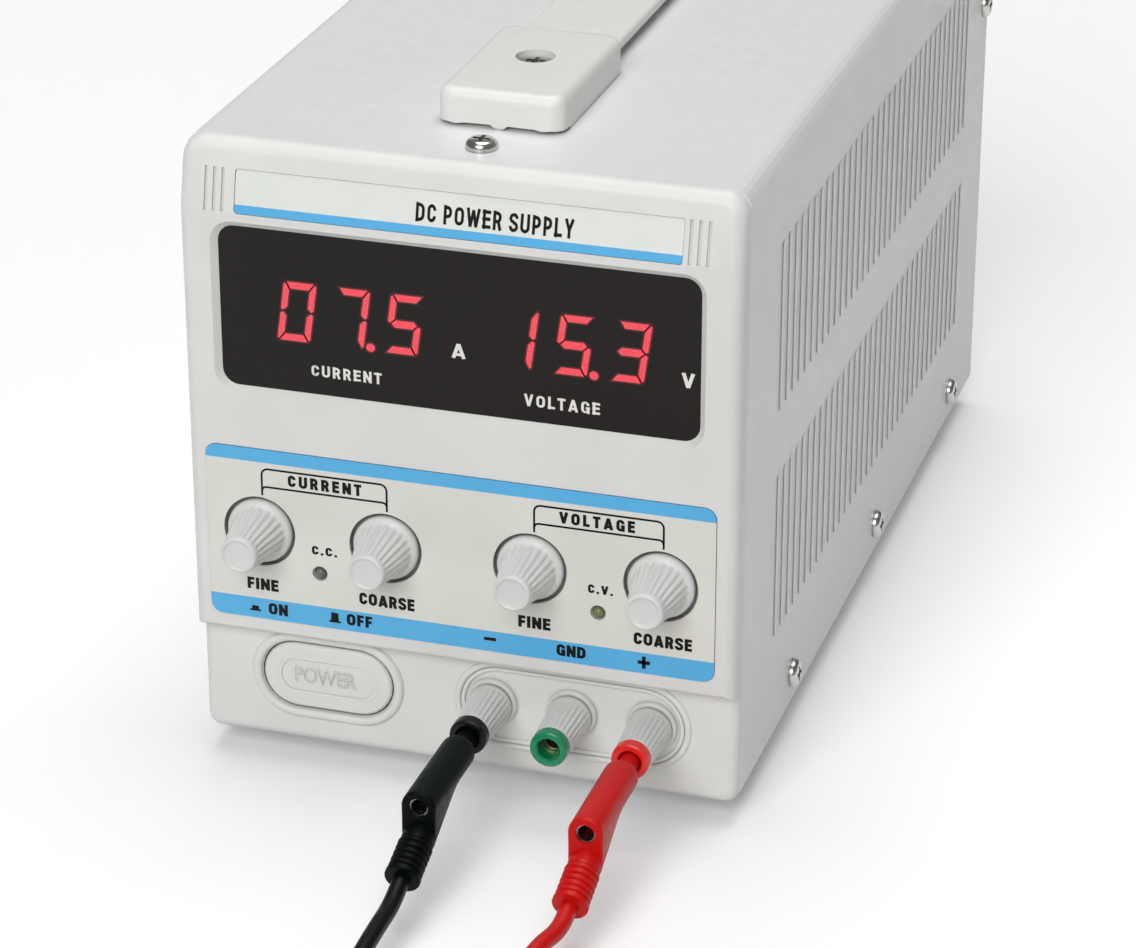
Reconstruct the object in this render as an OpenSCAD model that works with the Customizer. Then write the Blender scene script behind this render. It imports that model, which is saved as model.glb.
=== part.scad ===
// Laboratory bench power supply with two plugged-in test leads, millimetres.
// Drawn from the front panel's face: X to the right, Y into the case, Z up from the table.

/* [Case] */
// Width over the cover's sides
case_w = 136; // [130:1:146]
// Depth from the panel's face to the cover's rear edge
case_d = 272; // [262:1:290]
// Height from the panel's underside to the cover's top
case_h = 156; // [152:1:166]
// Height of the panel's underside above the table
foot_h = 6; // [5:0.5:9]
// Thickness of the cover sheet
sheet_t = 1; // [0.8:0.1:1.4]
// Outer radius of the cover's two top bends
bend_r = 5; // [3:0.5:7]
// Thickness of the chassis and rear panel sheet
chassis_t = 1.2; // [0.8:0.1:1.6]
// Radius of a foot
foot_r = 8; // [6:0.5:10]
// Clearance between pieces that are fixed to each other
fit = 0.1; // [0.05:0.01:0.15]

/* [Front panel] */
// Wall thickness of the moulding
wall_t = 2.5; // [2.2:0.1:2.9]
// Radius of the rounded side and top edges
face_r = 3.6; // [2.5:0.1:4]
// Corner radius at the top of the panel
panel_corner = 6; // [5:0.5:8]
// Height of the set-back lower section
lower_h = 30.5; // [30:0.5:33]
// Depth by which the lower section is set back
lower_set = 4.5; // [4:0.25:5]
// Height of the sloping brow
brow_h = 17; // [16:0.5:19]
// Backward slope of the brow in degrees
brow_tilt = 12.5; // [8:0.5:15]
// Thickness of the rim that the cover slides over
lip_t = 1.6; // [1.2:0.1:2.2]
// Length of that rim
lip_d = 6.5; // [5:0.5:9]

/* [Display] */
// Visible height of the window
window_h = 40.2; // [36:0.2:42]
// Side margin between the case's side and the visible window
window_side = 9.5; // [8:0.5:14]
// Distance from the brow's edge down to the window
window_drop = 3.3; // [3:0.1:4]
// Thickness of the window plate
window_t = 2; // [1.5:0.1:2.4]
// Distance between neighbouring digits
digit_pitch = 13.4; // [12.6:0.1:14]
// Centres of the two groups of digits from the middle
digit_groups = [-26, 28.4];

/* [Controls] */
// Height of the label that carries the knobs
label_h = 45; // [43:0.5:48]
// Distance from the step in the panel up to the label
label_up = 4.5; // [3.5:0.5:6]
// Side margin beside the label
label_side = 4.8; // [4.4:0.1:8]
// Distance between the coarse and fine knobs
knob_gap = 32; // [27:0.5:34]
// Height of the knobs above the label's lower edge
knob_up = 23.4; // [22:0.2:26]
// Radius of a knob's skirt
knob_r = 8.2; // [7.5:0.1:8.8]
// Length that a knob stands out of the panel
knob_len = 14.5; // [13:0.5:15]
// Radius of a potentiometer shaft
shaft_r = 3; // [2.5:0.1:3.2]
// Number of ribs round a knob
knob_ribs = 22; // [16:1:26]
// Height of the indicator lamps above the label's lower edge
led_up = 14.3; // [13.5:0.1:14.8]
// Radius of an indicator lamp
led_r = 1.5; // [1.2:0.1:1.8]
// Width of the power button
button_w = 33.4; // [30:0.2:35]
// Height of the power button
button_h = 17.4; // [15:0.2:18]
// Place of the power button to the left of the middle
button_x = -35.3; // [-37:0.1:-34]
// Outward travel of the button when it is released
button_out = 2.5; // [2:0.1:3]

/* [Binding posts] */
// Place of the middle post to the right of the middle
post_x = 27; // [26:0.5:29]
// Distance between posts
post_gap = 20; // [19:0.5:20.5]
// Height of the posts above the panel's underside
post_up = 19; // [18:0.5:20]
// Radius of the threaded stud
stud_r = 3; // [2.8:0.1:3.2]
// Radius of the plug socket
socket_r = 2; // [1.9:0.05:2.1]
// Length that a post stands out of the panel's face
post_len = 15; // [14.6:0.2:17]
// Largest radius of the clamping barrel
barrel_r = 5.4; // [5.1:0.1:5.8]
// Number of ribs round a barrel
barrel_ribs = 24; // [18:1:28]

/* [Carrying handle] */
// Width of the strap
strap_w = 25.4; // [20:0.2:26]
// Thickness of the strap
strap_t = 3; // [2.4:0.1:3.2]
// Gap between the strap and the cover's top
strap_gap = 2.2; // [2:0.1:3]
// Place of the handle to the right of the middle
handle_x = 1.8; // [-2:0.2:3]
// Width of a handle cap
cap_w = 31; // [28.2:0.2:32]
// Length of a handle cap
cap_l = 50; // [44:1:52]
// Height of a handle cap
cap_h = 9; // [8.6:0.2:11]
// Depth at which the front cap begins
cap_y = 28; // [27:1:34]
// Length of each half of the strap between the caps
arm_l = 58; // [50:1:62]

/* [Louvres] */
// Number of louvres in a row
louvre_n = 35; // [20:1:35]
// Distance between louvres
louvre_pitch = 6.06; // [5.6:0.02:6.1]
// Length of a louvre
louvre_h = 43.4; // [36:0.2:46]
// Width of the slit under a louvre's lip
slit_w = 0.9; // [0.6:0.1:1.2]
// Height by which a lip stands out of the cover
lip_out = 0.4; // [0.3:0.05:1]

/* [Rear panel] */
// Side length of the fan
fan_w = 80; // [70:1:84]
// Depth of the fan
fan_d = 25; // [20:1:28]
// Number of fan blades
blade_n = 7; // [5:1:9]
// Wire radius of the fan guard
wire_r = 0.75; // [0.6:0.05:0.9]
// Place of the mains inlet to the left of the middle
inlet_x = -36; // [-38:0.5:-34]
// Place of the voltage selector to the right of the middle
selector_x = 36; // [32:0.5:44]

/* [Test leads] */
// Radius of a plug pin
pin_r = 1.95; // [1.8:0.05:1.98]
// Outer radius of the lead
cord_r = 2.1; // [1.8:0.1:2.2]
// Mean radius of the coil that the spare length lies in
coil_r = 25; // [24.6:0.1:25.4]
// Depth of the coils in front of the panel's face
coil_y = -150; // [-156:1:-149]

/* [Hidden] */

$fn = 48;
skin = 0.01;
run = 0.05;

// Main planes of the case
half_w = case_w / 2;
base_z = foot_h;
top_z = base_z + case_h;
step_z = base_z + lower_h;
brow_z = top_z - brow_h;
brow_l = (brow_h - face_r + face_r * sin(brow_tilt)) / cos(brow_tilt) + face_r;
seam_y = face_r * cos(brow_tilt) + (brow_l - face_r) * sin(brow_tilt) + 0.85;
tray_z = base_z + 1 + chassis_t;
lip_half = half_w - sheet_t - fit;
lip_end = seam_y + lip_d;
lip_z = tray_z + fit;
lip_top = top_z - sheet_t - fit;
panel_in = case_d - 1.5 - chassis_t;
panel_out = case_d - 1.5;

// Front panel places
window_half = half_w - window_side;
window_z = brow_z - window_drop - window_h / 2;
window_rebate = 2;
window_y = wall_t - 1;
rim_t = 2.5;
label_z = step_z + label_up;
label_half = half_w - label_side;
label_t = 0.6;
label_in = 0.3;
knob_z = label_z + knob_up;
led_z = label_z + led_up;
knob_xs = [for (s = [-1, 1]) for (t = [-1, 1]) s * case_w / 4 + t * knob_gap / 2];
led_xs = [-case_w / 4 - 0.8, case_w / 4 + 0.8];
well_r = knob_r + 0.9;
well_d = 2;
board_y = 12;
board_t = 1.6;
board_z0 = step_z + 3.5;
board_z1 = brow_z + 5;
button_z = base_z + 18.5;
button_slot = 0.3;
bead_r = 1.2;
button_edge = button_slot + bead_r + 0.15;
strip_x0 = -53.7;
strip_x1 = 54;
strip_h = 10.4;
post_xs = [post_x - post_gap, post_x, post_x + post_gap];
post_z = base_z + post_up;
lower_wall = lower_set + wall_t;

// Handle places
strap_z0 = top_z + strap_gap;
strap_z1 = strap_z0 + strap_t;
front_end_y = cap_y + cap_l;
middle_y = front_end_y + arm_l;
rear_end_y = middle_y + arm_l;
cap_hole_y = cap_y + 28;
cap_well_r = 4.8;
handle_screw_r = 2.5;
screw_r = 1.5;
rear_hole_y = 2 * middle_y - cap_hole_y;
tongue_play = 0.3;
tongue_travel = 4.2;

// Rear panel places
fan_z = top_z - 52;
fan_y = panel_in - fan_d;
fan_hole = 0.894 * fan_w / 2;
fan_bore = fan_w / 2 - 1.5;
hub_r = 16;
bearing_r = 1.5;
inlet_z = base_z + 27;
selector_z = base_z + 24;
head_h = 2.4;
rear_y = panel_out + 2 * wire_r + head_h;

// The whole part stands on the table with its middle at the origin
row_shift = (post_len - rear_y) / 2;

// Points of a circular arc
function arc(cx, cy, r, a0, a1, n) =
    [for (i = [0:n]) let (a = a0 + (a1 - a0) * i / n) [cx + r * cos(a), cy + r * sin(a)]];

// Rectangle with rounded corners about the origin
function rounded(w, h, r, n = 6) = concat(
    arc(w / 2 - r, h / 2 - r, r, 0, 90, n), arc(r - w / 2, h / 2 - r, r, 90, 180, n),
    arc(r - w / 2, r - h / 2, r, 180, 270, n), arc(w / 2 - r, r - h / 2, r, 270, 360, n));

// Rectangle from z0 to z1 whose two upper corners are rounded
function arched(half, z0, z1, r, n = 6) = concat(
    [[-half, z0], [half, z0]], arc(half - r, z1 - r, r, 0, 90, n), arc(r - half, z1 - r, r, 90, 180, n));

// Slot outline with half-round ends
function obround(w, h, n = 16) = concat(
    arc((w - h) / 2, 0, h / 2, -90, 90, n), arc((h - w) / 2, 0, h / 2, 90, 270, n));

// Outline with n ridges between two radii
function ridged(n, r0, r1) =
    [for (i = [0:2 * n - 1]) let (r = i % 2 == 0 ? r1 : r0) [r * cos(180 * i / n), r * sin(180 * i / n)]];

function unit(v) = v / norm(v);

module in_case() {
    translate([0, row_shift, 0]) children();
}

module at_handle() {
    translate([handle_x, 0, 0]) children();
}

// Outline in X and Z, extruded from y0 to y1
module slab(y0, y1) {
    translate([0, y1, 0]) rotate([90, 0, 0]) linear_extrude(y1 - y0) children();
}

// Outline in Y and Z, extruded from x0 to x1
module across(x0, x1) {
    translate([x0, 0, 0]) rotate([90, 0, 90]) linear_extrude(x1 - x0) children();
}

module block(x0, x1, y0, y1, z0, z1) {
    translate([x0, y0, z0]) cube([x1 - x0, y1 - y0, z1 - z0]);
}

// Round rod along Y
module rod(x, z, y0, y1, r) {
    translate([x, y0, z]) rotate([-90, 0, 0]) cylinder(r = r, h = y1 - y0);
}

// Body of revolution about a line along Y, its outline given as radius and y
module turned(x, z, outline) {
    translate([x, 0, z]) rotate([-90, 0, 0]) rotate_extrude() polygon(outline);
}

// Half-round bead along a slot outline on a plane at y
module bead(x, z, w, h, r, y) {
    translate([x, y, z]) for (s = [-1, 1]) {
        translate([(h - w) / 2, 0, s * h / 2]) rotate([0, 90, 0]) cylinder(r = r, h = w - h, $fn = 24);
        translate([s * (w - h) / 2, 0, 0]) rotate([90, 0, 0]) rotate([0, 0, -90 * s])
            rotate_extrude(angle = 180) translate([h / 2, 0]) circle(r = r, $fn = 24);
    }
}

// Pan-head screw along +Z with a cross recess, its head's seat at z 0
module pan_screw(head_r, shank_r, shank_l, height = head_h) {
    difference() {
        rotate_extrude() polygon(concat([[0, -shank_l], [shank_r, -shank_l], [shank_r, 0], [head_r, 0],
            [head_r, height * 0.3]], arc(head_r - height * 0.7, height * 0.3, height * 0.7, 0, 90, 4),
            [[0, height]]));
        for (a = [0, 90]) rotate([0, 0, a])
            translate([-head_r * 0.55, -0.5, height - 1.3]) cube([head_r * 1.1, 1, 2]);
    }
}

// Tube swept along points, each ring square to the path
module swept(points, r, sides = 8) {
    n = len(points);
    rings = [for (i = [0:n - 1])
        let (t = unit(points[min(i + 1, n - 1)] - points[max(i - 1, 0)]), s = unit(cross(t, [0, 0, 1])),
            u = cross(s, t))
        for (k = [0:sides - 1]) points[i] + r * (cos(360 * k / sides) * s + sin(360 * k / sides) * u)];
    walls = [for (i = [0:n - 2]) for (k = [0:sides - 1])
        let (a = i * sides + k, b = i * sides + (k + 1) % sides) each [[a, b, b + sides], [a, b + sides, a + sides]]];
    polyhedron(rings, concat(walls, [[for (k = [sides - 1:-1:0]) k]],
        [[for (k = [0:sides - 1]) (n - 1) * sides + k]]), convexity = 6);
}

// Front panel moulding

function step_round(y) = let (r = 2) y < r ? r - sqrt(r * r - (r - y) * (r - y)) : 0;

module on_brow() {
    translate([0, 0, brow_z]) rotate([-brow_tilt, 0, 0]) children();
}

// Upper part: a flat face with rounded edges and the brow that leans back above it
module upper_block() {
    hull() {
        for (t = [0:18:90]) {
            inset = face_r * (1 - cos(t));
            y = face_r * (1 - sin(t));
            slab(y, y + skin) polygon([[inset - half_w, step_z + step_round(y)], [half_w - inset, step_z + step_round(y)],
                [half_w - inset, brow_z], [inset - half_w, brow_z]]);
            on_brow() slab(y, y + skin)
                polygon(arched(half_w - inset, 0, brow_l - inset, panel_corner - inset));
        }
        slab(seam_y - skin, seam_y) polygon(arched(half_w, step_z, top_z, panel_corner));
    }
}

// Lower part, set back, with rounded sides and underside
module lower_block() {
    lower_r = seam_y - lower_set;
    hull() for (t = [0:18:90]) {
        inset = lower_r * (1 - cos(t));
        y = min(lower_set + lower_r * (1 - sin(t)), seam_y - skin);
        corner = lower_r + 0.5 - inset;
        slab(y, y + skin) polygon(concat(
            arc(half_w - inset - corner, base_z + inset + corner, corner, 270, 360, 5),
            [[half_w - inset, step_z + 1], [inset - half_w, step_z + 1]],
            arc(inset + corner - half_w, base_z + inset + corner, corner, 180, 270, 5)));
    }
}

module bezel() color("gainsboro") in_case() {
    inner_half = lip_half - lip_t;
    inner_top = lip_top - lip_t;
    inner_floor = lip_z + lip_t;
    boss_z = (label_z + label_h + window_z - window_h / 2) / 2;
    difference() {
        union() {
            difference() {
                union() {
                    upper_block();
                    lower_block();
                }
                across(-inner_half, inner_half) polygon([[lower_wall, inner_floor], [lower_wall, step_z + wall_t],
                    [wall_t, step_z + wall_t], [wall_t, brow_z],
                    [wall_t + (inner_top - brow_z) * tan(brow_tilt), inner_top],
                    [seam_y + 1, inner_top], [seam_y + 1, inner_floor]]);
            }
            // Rim that carries the cover
            slab(seam_y, lip_end) difference() {
                polygon(arched(lip_half, lip_z, lip_top, bend_r - sheet_t));
                polygon(arched(inner_half, inner_floor, inner_top, 2));
            }
            // Tab that the cover's top screw goes into
            at_handle() block(-8, 8, lip_end - 1, top_screw_y + 5, lip_top - 4, lip_top);
            // Frame behind the display opening
            slab(wall_t - 0.5, window_y + window_t + 0.1) translate([0, window_z])
                polygon(rounded(2 * (window_half + window_rebate + rim_t), window_h + 2 * (window_rebate + rim_t), 3));
            // Backing of the knob wells and the bosses that carry the board
            for (x = knob_xs) rod(x, knob_z, wall_t - 0.5, well_d + 2.2, well_r + 1.5);
            for (x = [-half_w + 12, half_w - 12]) rod(x, boss_z, wall_t - 0.5, board_y, 3);
            for (x = led_xs) rod(x * 0.98, label_z + 3.5, wall_t - 0.5, board_y, 3);
            // Raised beads round the button and the posts
            bead(button_x, button_z, button_w + 2 * button_edge, button_h + 2 * button_edge, bead_r, lower_set);
            bead(post_x, base_z + 18.4, 2 * post_gap + 17.8, 21.8, 0.8, lower_set);
            bead(post_x, base_z + 18.4, 2 * post_gap + 15, 19, 0.6, lower_set);
        }
        // Chamfered display opening and the rebate that holds the window
        hull() {
            slab(-1, 0) translate([0, window_z]) polygon(rounded(2 * window_half + 3, window_h + 3, 5.5));
            slab(window_y, window_y + skin) translate([0, window_z])
                polygon(rounded(2 * window_half, window_h, 4));
        }
        slab(window_y, lip_end) translate([0, window_z])
            polygon(rounded(2 * (window_half + window_rebate), window_h + 2 * window_rebate, 3));
        // Seat of the label, knob wells, shaft holes and lamp holes
        slab(-1, label_in) translate([0, label_z + label_h / 2])
            polygon(rounded(2 * (label_half + fit), label_h + 2 * fit, 3));
        for (x = knob_xs) {
            rod(x, knob_z, -1, well_d, well_r);
            rod(x, knob_z, 0, lip_end, shaft_r + 1.2);
        }
        for (x = led_xs) rod(x, led_z, -1, wall_t + 1, led_r + 0.1);
        // Seat of the name strip and the grooves beside it
        on_brow() {
            slab(-1, 0.8) translate([(strip_x0 + strip_x1) / 2, strip_h / 2 + 0.3])
                polygon(rounded(strip_x1 - strip_x0 + 2 * fit, strip_h + 2 * fit, 0.8));
            for (x = [strip_x0 - 7.2, strip_x0 - 5.1, strip_x0 - 3, strip_x1 + 1.7, strip_x1 + 3.8, strip_x1 + 6])
                block(x - 0.4, x + 0.4, -1, 0.5, 0.4, strip_h + 0.4);
        }
        at_handle() translate([0, top_screw_y, lip_top - 5]) cylinder(r = screw_r + run, h = 8);
        // Button slot and post holes
        slab(0, lip_end) translate([button_x, button_z])
            polygon(obround(button_w + 2 * button_slot, button_h + 2 * button_slot));
        for (x = post_xs) rod(x, post_z, 0, lip_end, 4 + fit);
    }
}

module display_window() color([0.16, 0.13, 0.13]) in_case() {
    slab(window_y, window_y + window_t) translate([0, window_z]) polygon(rounded(
        2 * (window_half + window_rebate - fit), window_h + 2 * (window_rebate - fit), 2.9));
}

module control_label() color("whitesmoke") in_case() {
    difference() {
        slab(label_in - label_t, label_in) translate([0, label_z + label_h / 2])
            polygon(rounded(2 * label_half, label_h, 2.9));
        for (x = knob_xs) rod(x, knob_z, -1, 1, well_r);
        for (x = led_xs) rod(x, led_z, -1, 1, led_r + 0.4);
    }
}

module name_strip() color("lightgray") in_case() {
    on_brow() slab(0.2, 0.8) translate([(strip_x0 + strip_x1) / 2, strip_h / 2 + 0.3])
        polygon(rounded(strip_x1 - strip_x0, strip_h, 0.7));
}

// Sheet-metal cover with pressed louvres

louvre_y = 37;
lip_edge = 0.22;

// Louvres of one row, standing up from z0, for a cover side at x half_w
module louvre_row(z0) {
    z1 = z0 + louvre_h;
    root_x = half_w - sheet_t / 2;
    lip_x = half_w + lip_out;
    end_l = 1.8 * lip_out;
    intersection() {
        translate([0, 0, z0]) linear_extrude(louvre_h) for (k = [0:louvre_n - 1])
            let (y = louvre_y + k * louvre_pitch, root_y = y + slit_w + 0.1)
            polygon([[root_x, root_y], [lip_x - lip_edge, root_y], [lip_x - lip_edge, y + 0.1], [lip_x, y + 0.1],
                [lip_x, y + 0.3], [half_w, y + 4.2], [root_x, y + 4.2]]);
        slab(louvre_y - 2, louvre_y + louvre_n * louvre_pitch + 2)
            polygon([[half_w - 2, z0], [half_w, z0], [half_w + 2 * lip_out, z0 + 2 * end_l],
                [half_w + 2 * lip_out, z1 - 2 * end_l], [half_w, z1], [half_w - 2, z1]]);
    }
}

module louvre_slits(z0) {
    for (k = [0:louvre_n - 1]) let (y = louvre_y + k * louvre_pitch)
        block(half_w - 2, half_w + 1, y, y + slit_w, z0 + 0.8, z0 + louvre_h - 0.8);
}

module cover() color("silver") in_case() {
    bottom_z = tray_z;
    row_zs = [top_z - 23.2 - louvre_h, base_z + 29.4];
    difference() {
        union() {
            difference() {
                slab(seam_y, case_d) difference() {
                    polygon(arched(half_w, bottom_z, top_z, bend_r));
                    polygon(arched(half_w - sheet_t, bottom_z - 1, top_z - sheet_t, bend_r - sheet_t));
                }
                for (m = [0, 1]) mirror([m, 0, 0]) for (z = row_zs) louvre_slits(z);
            }
            for (m = [0, 1]) mirror([m, 0, 0]) for (z = row_zs) louvre_row(z);
        }
        for (y = side_screw_ys) rotate([0, 90, 0]) translate([-side_screw_z, y, -half_w - 2])
            cylinder(r = screw_r + fit, h = case_w + 4);
        rotate([0, 90, 0]) translate([-edge_screw_z, edge_screw_y, -half_w - 2])
            cylinder(r = screw_r + fit, h = case_w + 4);
        at_handle() {
            translate([0, top_screw_y, top_z - 3]) cylinder(r = screw_r + fit, h = 5);
            for (y = [cap_hole_y, rear_hole_y]) translate([0, y, top_z - 3])
                cylinder(r = handle_screw_r + fit, h = 5);
        }
    }
}

// Chassis

side_screw_ys = [57, 147, case_d - 32];
side_screw_z = base_z + 10;
edge_screw_y = case_d - 5.5;
edge_screw_z = base_z + 119;
top_screw_y = seam_y + 8;
flange_top = base_z + 18;
foot_xs = [16 - half_w, half_w - 16];
foot_ys = [26, case_d - 26];

module chassis_tray() color("lightsteelblue") in_case() {
    flange_x = lip_half - chassis_t;
    difference() {
        union() {
            block(-lip_half, lip_half, seam_y, panel_out, tray_z - chassis_t, tray_z);
            for (s = [-1, 1]) translate([s * (flange_x + chassis_t / 2), 0, 0])
                block(-chassis_t / 2, chassis_t / 2, lip_end + 0.2, panel_in - 0.2, tray_z - 0.5, flange_top);
        }
        for (y = side_screw_ys) rotate([0, 90, 0]) translate([-side_screw_z, y, -half_w])
            cylinder(r = screw_r + run, h = case_w);
        for (k = [0:6]) for (y = [96, 218]) translate([-28 + 8 * k, y, tray_z - 3]) linear_extrude(5)
            rotate(90) polygon(obround(24, 3, 6));
        for (x = foot_xs) for (y = foot_ys) translate([x, y, tray_z - 3]) cylinder(r = 2, h = 5);
    }
}

module feet() color([0.1, 0.1, 0.1]) in_case() {
    top = tray_z - chassis_t;
    for (x = foot_xs) for (y = foot_ys) translate([x, y, 0]) rotate_extrude()
        polygon([[3, 0], [foot_r - 1, 0], [foot_r - 0.3, 0.7], [foot_r, top - 0.4], [foot_r, top], [2, top],
            [2, top + chassis_t], [0, top + chassis_t], [0, top - 3], [3, top - 3]]);
}

module rear_panel() color("silver") in_case() {
    flange_x = lip_half - fit;
    difference() {
        union() {
            slab(panel_in, panel_out) polygon(arched(lip_half - fit, tray_z + fit, lip_top - fit, bend_r - sheet_t));
            for (s = [-1, 1]) translate([s * (flange_x - chassis_t / 2), 0, 0])
                block(-chassis_t / 2, chassis_t / 2, panel_in - 12, panel_in + 0.2, edge_screw_z - 25, edge_screw_z + 20);
        }
        rod(0, fan_z, panel_in - 1, panel_out + 1, fan_hole + 2);
        for (sx = [-1, 1]) for (sz = [-1, 1])
            rod(sx * fan_hole, fan_z + sz * fan_hole, panel_in - 1, panel_out + 1, 2.1);
        block(inlet_x - 14 - fit, inlet_x + 14 + fit, panel_in - 1, panel_out + 1, inlet_z - 15 - fit, inlet_z + 15 + fit);
        block(selector_x - 11 - fit, selector_x + 11 + fit, panel_in - 1, panel_out + 1,
            selector_z - 6 - fit, selector_z + 6 + fit);
        rotate([0, 90, 0]) translate([-edge_screw_z, edge_screw_y, -half_w])
            cylinder(r = screw_r + run, h = case_w);
    }
}

// Handle caps: a rounded block with a slot for the strap and a well for its screw
module handle_cap() {
    cap_r = 4;
    edge_r = 2.6;
    difference() {
        translate([0, cap_y + cap_l / 2, 0]) hull() {
            translate([0, 0, top_z]) linear_extrude(skin) polygon(rounded(cap_w, cap_l, cap_r));
            for (t = [0:22.5:90]) let (inset = edge_r * (1 - cos(t)))
                translate([0, 0, top_z + cap_h - edge_r * (1 - sin(t)) - skin]) linear_extrude(skin)
                polygon(rounded(cap_w - 2 * inset, cap_l - 2 * inset, cap_r - inset));
        }
        block(-strap_w / 2 - fit, strap_w / 2 + fit, cap_y + 9, cap_y + cap_l + 1, strap_z0 - fit, strap_z1 + fit);
        translate([0, cap_hole_y, strap_z0 + 1]) cylinder(r = cap_well_r, h = cap_h);
        translate([0, cap_hole_y, top_z - 1]) cylinder(r = handle_screw_r + run, h = cap_h);
        // Relieved lower edge that stands on a small nub at the middle
        slab(cap_y - 1, cap_y + 6) translate([0, top_z]) for (m = [0, 1]) mirror([m, 0])
            polygon([[0.9, -1], [0.9, 0.1], [2.2, 1.1], [cap_w / 2 - 7, 1], [cap_w / 2 - 5, 0.6],
                [cap_w / 2 - 3, 0.9], [cap_w / 2 + 1, 0.7], [cap_w / 2 + 1, -1]]);
    }
}

module handle_front_cap() color("whitesmoke") in_case() at_handle() handle_cap();

module handle_rear_cap() color("whitesmoke") in_case() at_handle()
    translate([0, 2 * middle_y, 0]) mirror([0, 1, 0]) handle_cap();

module case_screws() color("lightgray") in_case() {
    for (s = [-1, 1]) {
        for (y = side_screw_ys) translate([s * half_w, y, side_screw_z]) rotate([0, 90 * s, 0])
            pan_screw(3.6, screw_r, 5, 2);
        translate([s * half_w, edge_screw_y, edge_screw_z]) rotate([0, 90 * s, 0])
            pan_screw(3.6, screw_r, 5, 2);
    }
    at_handle() {
        translate([0, top_screw_y, top_z]) pan_screw(3.8, screw_r, 5);
        for (y = [cap_hole_y, rear_hole_y]) translate([0, y, strap_z1 + 0.15])
            pan_screw(cap_well_r - 0.6, handle_screw_r, 10, 2.6);
    }
    for (sx = [-1, 1]) for (sz = [-1, 1])
        translate([sx * fan_hole, panel_out + 2 * wire_r, fan_z + sz * fan_hole]) rotate([-90, 0, 0])
        pan_screw(3.9, 2, 12);
}

// Circuitry inside the case

transformer_y = 160;
transformer_z = tray_z + 6;

module transformer_core() color("dimgray") in_case() {
    y0 = transformer_y;
    z0 = transformer_z;
    difference() {
        block(-57, 9, y0, y0 + 34, z0, z0 + 55);
        for (x = [-46, -13]) block(x, x + 11, y0 - 1, y0 + 35, z0 + 11, z0 + 44);
    }
    // Clamp strips whose feet stand on the tray
    for (y = [y0 - 1.5, y0 + 34]) difference() {
        block(-57, 9, y, y + 1.5, tray_z, z0 + 8);
        block(-45, -3, y - 1, y + 3, tray_z - 1, z0 - 2);
    }
}

module transformer_winding() color("goldenrod") in_case() {
    y0 = transformer_y;
    z0 = transformer_z;
    gap = 0.3;
    difference() {
        block(-46 + gap, -2 - gap, y0 - 11, y0 + 45, z0 + 11 + gap, z0 + 44 - gap);
        block(-35 - gap, -13 + gap, y0 - gap, y0 + 34 + gap, z0, z0 + 60);
    }
}

module bridge_rectifier() color([0.12, 0.12, 0.13]) in_case() {
    difference() {
        block(26, 54, 176, 204, tray_z, tray_z + 8);
        translate([40, 190, tray_z - 1]) cylinder(r = 2.2, h = 12);
    }
    for (x = [31, 49]) for (y = [181, 199]) block(x - 0.4, x + 0.4, y - 3.1, y + 3.1, tray_z + 8, tray_z + 18);
}

board_under = 6;
main_z = tray_z + board_under;

module main_board() color([0.05, 0.3, 0.15]) in_case() {
    difference() {
        block(-56, 56, 52, 142, main_z, main_z + 1.6);
        for (x = [-50, 50]) for (y = [58, 136]) translate([x, y, main_z - 1]) cylinder(r = 1.6, h = 4);
    }
    for (x = [-50, 50]) for (y = [58, 136]) translate([x, y, tray_z]) cylinder(r = 3, h = board_under);
    for (y = [62, 76, 90]) block(8, 18, y, y + 6, main_z + 1.6, main_z + 6);
    for (y = [60, 80, 100, 120]) block(-16, -4, y, y + 7, main_z + 1.6, main_z + 5);
}

module filter_capacitors() color([0.1, 0.15, 0.35]) in_case() {
    z0 = main_z + 1.6;
    for (y = [74, 112]) translate([38, y, z0]) rotate_extrude() polygon([[0, 0], [14.4, 0], [15, 0.8],
        [15, 2.4], [14.5, 3.2], [15, 4], [15, 44.4], [14.4, 45], [12.6, 45], [12.4, 44.4], [0, 44.4]]);
}

module heatsink() color("darkgray") in_case() {
    z0 = main_z + 1.6;
    translate([0, 0, z0]) linear_extrude(56) union() {
        translate([-32, 56]) square([3, 82]);
        for (k = [0:11]) translate([-54, 57 + k * 7]) square([22.5, 1.8]);
    }
}

module pass_transistors() color([0.12, 0.12, 0.12]) in_case() {
    for (y = [72, 97, 122]) {
        block(-29, -24, y - 8, y + 8, main_z + 14, main_z + 35);
        for (s = [-5.4, 0, 5.4]) block(-26.6, -26, y + s - 0.6, y + s + 0.6, main_z + 1.6, main_z + 14);
    }
}

module front_board() color([0.05, 0.3, 0.15]) in_case() {
    difference() {
        slab(board_y, board_y + board_t) translate([0, (board_z0 + board_z1) / 2])
            polygon(rounded(2 * (window_half + 1.5), board_z1 - board_z0, 1));
        for (x = knob_xs) rod(x, knob_z, board_y - 1, board_y + 3, shaft_r + 0.6);
    }
    for (x = [-22, 6]) block(x, x + 16, board_y + board_t, board_y + board_t + 4, window_z - 20, window_z - 13);
    for (x = digit_groups) block(x - 14, x + 14, board_y + board_t, board_y + board_t + 3, window_z - 4, window_z + 4);
}

module display_digits() color([0.3, 0.25, 0.25]) in_case() {
    for (x = digit_groups) for (k = [-1:1])
        block(x + k * digit_pitch - digit_pitch / 2 + 0.2, x + k * digit_pitch + digit_pitch / 2 - 0.2,
            window_y + window_t + 0.3, board_y, window_z - 9.5, window_z + 9.5);
}

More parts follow.
